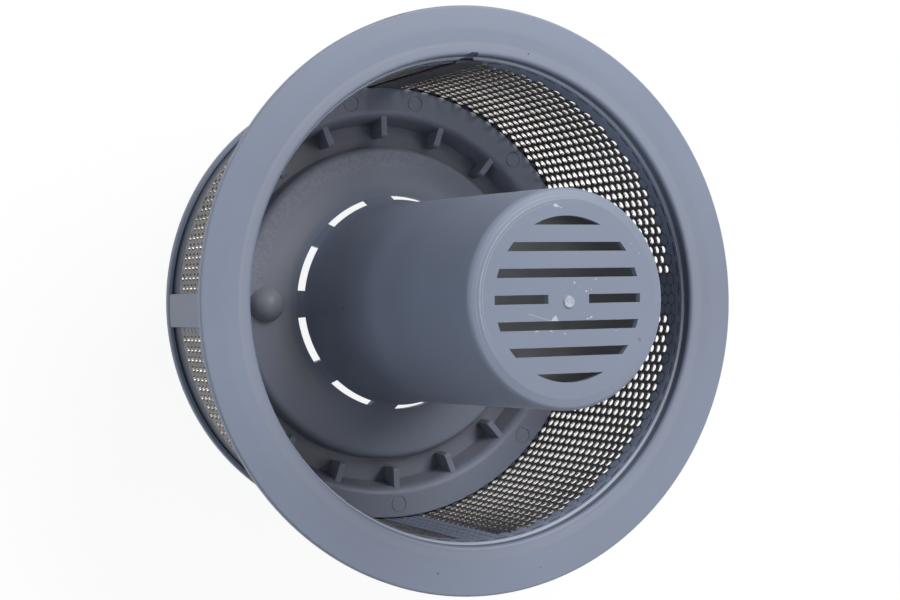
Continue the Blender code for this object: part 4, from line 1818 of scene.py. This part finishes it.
def silt_and_painted_light() -> tuple[Zone, ...]:
    """List the tones low in the filter: a brownish layer of silt, a patchy painted sheen on the upper side of
    the dome's shoulder, and a painted highlight on the stud and the left of the dome.

    Returns:
        The zones.
    """
    brown, pale = (0.262, 0.256, 0.290), (0.42, 0.42, 0.46)
    left, upper = (-1.0, 0.0, 0.0), (-0.62, 0.78, 0.0)
    return (
        Zone((0.033, 0.068), (-0.01, 0.0145), brown, 0.22, 0.006),
        Zone((0.0485, 0.0585), (-0.01, 0.0085), brown, 0.45, 0.002),
        # Painted sheen: a patchy paler band on the upper side of the dome's shoulder
        Zone((0.0425, 0.0480), (0.004, 0.0120), pale, 0.36, 0.0030, upper, 0.85),
        # Painted highlight: the stud and the dome round it lighter and greyer on the left side
        Zone((0.0350, 0.0475), (0.010, 0.0170), (0.36, 0.36, 0.39), 0.55, 0.0020, left),
    )


def riser_zones() -> tuple[Zone, ...]:
    """List the riser's zones: painted shade inside the tube, faint painted highlights in arcs round the top,
    and silt with painted sheen and highlights.

    Returns:
        The zones.
    """
    left, painted_highlight = (-0.87, 0.50, 0.0), (0.42, 0.46, 0.54)
    # Painted shade: the inside of the tube darker, deep below its top
    inside = Zone((-0.01, 0.0278), (0.0120, 0.1195), (0.115, 0.124, 0.152), 0.60, 0.0006)
    # Painted highlights: faint light arcs on the upper-left of the flat top, just inside the rounded rim
    highlight_arcs = [
        Zone((radius, radius + width), (0.1195, 0.1230), painted_highlight, strength, 0.00015, left, 0.35)
        for radius, width, strength in ((0.0246, 0.0002, 0.45), (0.0253, 0.0004, 0.55), (0.0264, 0.0002, 0.45))
    ]
    return (inside, *highlight_arcs, *silt_and_painted_light())


def basket_zones() -> tuple[Zone, ...]:
    """List the basket's zones: a painted highlight on the ledge's edge, painted shade on the bore wall, painted
    light on the inner ring, a painted highlight on the rim, and silt with painted sheen and highlights.
    """
    painted_highlight, painted_shade = (0.52, 0.55, 0.63), (0.110, 0.125, 0.165)
    return (
        # Painted shade on the bore wall, between the ledge and the flange's rounded edge
        Zone((0.0683, 0.0692), (0.0712, 0.0736), painted_shade, 0.75, 0.0004),
        # Painted highlight along the ledge's inner edge
        Zone((0.0660, 0.0685), (0.0707, 0.0713), painted_highlight, 0.90, 0.0002),
        # Painted light: the inner ring of the flange face lighter all round, and more so on its upper-left side
        Zone((0.0712, 0.0721), (0.0735, 0.0750), (0.31, 0.34, 0.42), 0.55, 0.0006, (-0.72, 0.70, 0.0)),
        Zone((0.0700, 0.0722), (0.0735, 0.0750), (0.265, 0.285, 0.355), 0.60, 0.0006),
        # Painted highlight, broken, along the flange's rounded rim
        Zone((0.0820, 0.0830), (0.0725, 0.0750), (0.30, 0.33, 0.42), 0.50, 0.0005, broken=0.4),
        *silt_and_painted_light(),
    )


def trough_pale_patches() -> tuple[Stroke, ...]:
    """List the paler places in the trough round the dome, on its upper-left side.

    Returns:
        The strokes.
    """
    strokes = []
    for bearing, radius, width, strength in (
        (100.0, 51.0, 1.9, 0.35), (114.0, 51.2, 2.2, 0.45), (128.0, 51.0, 2.0, 0.40), (142.0, 51.2, 1.7, 0.30),
        (104.0, 53.6, 0.7, 0.40), (119.0, 53.8, 0.8, 0.40), (133.0, 53.6, 0.6, 0.35),
    ):
        ends = [on_circle(turn, radius, 0.0026) for turn in (bearing, bearing + 12.0)]
        strokes.append(Stroke(*ends, width / 1000, (0.36, 0.36, 0.40), strength, 0.7, 0.4))
    return tuple(strokes)


def flange_wear_and_shade() -> tuple[Stroke, ...]:
    """List the marks on the flange: bits of white flash by the bore, faint lines, a speck, and painted shade
    standing for a nick in the rim.

    Returns:
        The strokes.
    """
    white, pale, dark = (0.62, 0.64, 0.68), (0.36, 0.40, 0.48), (0.07, 0.07, 0.09)
    lines = (
        (118.0, 79.4, 7.0, 0.09), (152.0, 78.2, 6.0, 0.09), (198.0, 79.8, 8.0, 0.10),
        (246.0, 78.6, 6.0, 0.09), (326.0, 79.1, 7.0, 0.09), (38.0, 78.8, 6.0, 0.09),
    )

    def at(bearing: float, radius: float, sweep: float, width: float, tone: Colour, **more: float) -> Stroke:
        """Place one stroke by its bearing and radius, in degrees and millimetres."""
        ends = [on_circle(turn, radius, 0.0745) for turn in (bearing, bearing + sweep)]
        return Stroke(*ends, width / 1000, tone, **more)

    flash = dict(strength=0.9, ragged=1.2, broken=0.5)
    faint = dict(strength=0.55, ragged=0.4, broken=0.6)
    return (
        at(112.5, 69.0, 0.5, 0.20, white, **flash), at(108.0, 69.1, 0.7, 0.24, white, **flash),
        at(105.0, 69.0, 0.4, 0.18, white, **flash), at(78.4, 71.3, 0.1, 0.35, dark, strength=0.8),
        # Painted shade standing for a nick in the rounded rim
        at(107.0, 82.3, 4.5, 0.28, dark, strength=0.5, broken=0.6),
        *(at(*line, pale, **faint) for line in lines),
        at(283.0, 77.6, 0.2, 0.30, dark, strength=0.5), at(20.0, 80.2, 0.1, 0.22, pale, strength=0.6),
    )


def main() -> None:
    """Build the filter and its studio."""
    logging.basicConfig(level=logging.INFO, format="%(message)s")
    seats = Seats()
    grey = (0.235, 0.270, 0.360)
    made = Filter(
        basket=BasketMoulding(seats),
        band=PerforatedBand(seats),
        riser=RiserMoulding(seats),
        basket_finish=PlasticFinish(
            "basket_plastic", grey, strokes=flange_wear_and_shade() + trough_pale_patches(), zones=basket_zones()
        ),
        riser_finish=PlasticFinish(
            "riser_plastic", grey, marks=0.2, strokes=top_wear() + trough_pale_patches(), zones=riser_zones()
        ),
        steel=SteelFinish("rolled_steel", (0.158, 0.160, 0.170), (0.082, 0.081, 0.085)),
        cut_steel=SteelFinish("cut_steel", (0.400, 0.365, 0.320), (0.080, 0.070, 0.060), 0.22),
    )
    made.build()
    Studio().build()


if __name__ == "__main__":
    main()
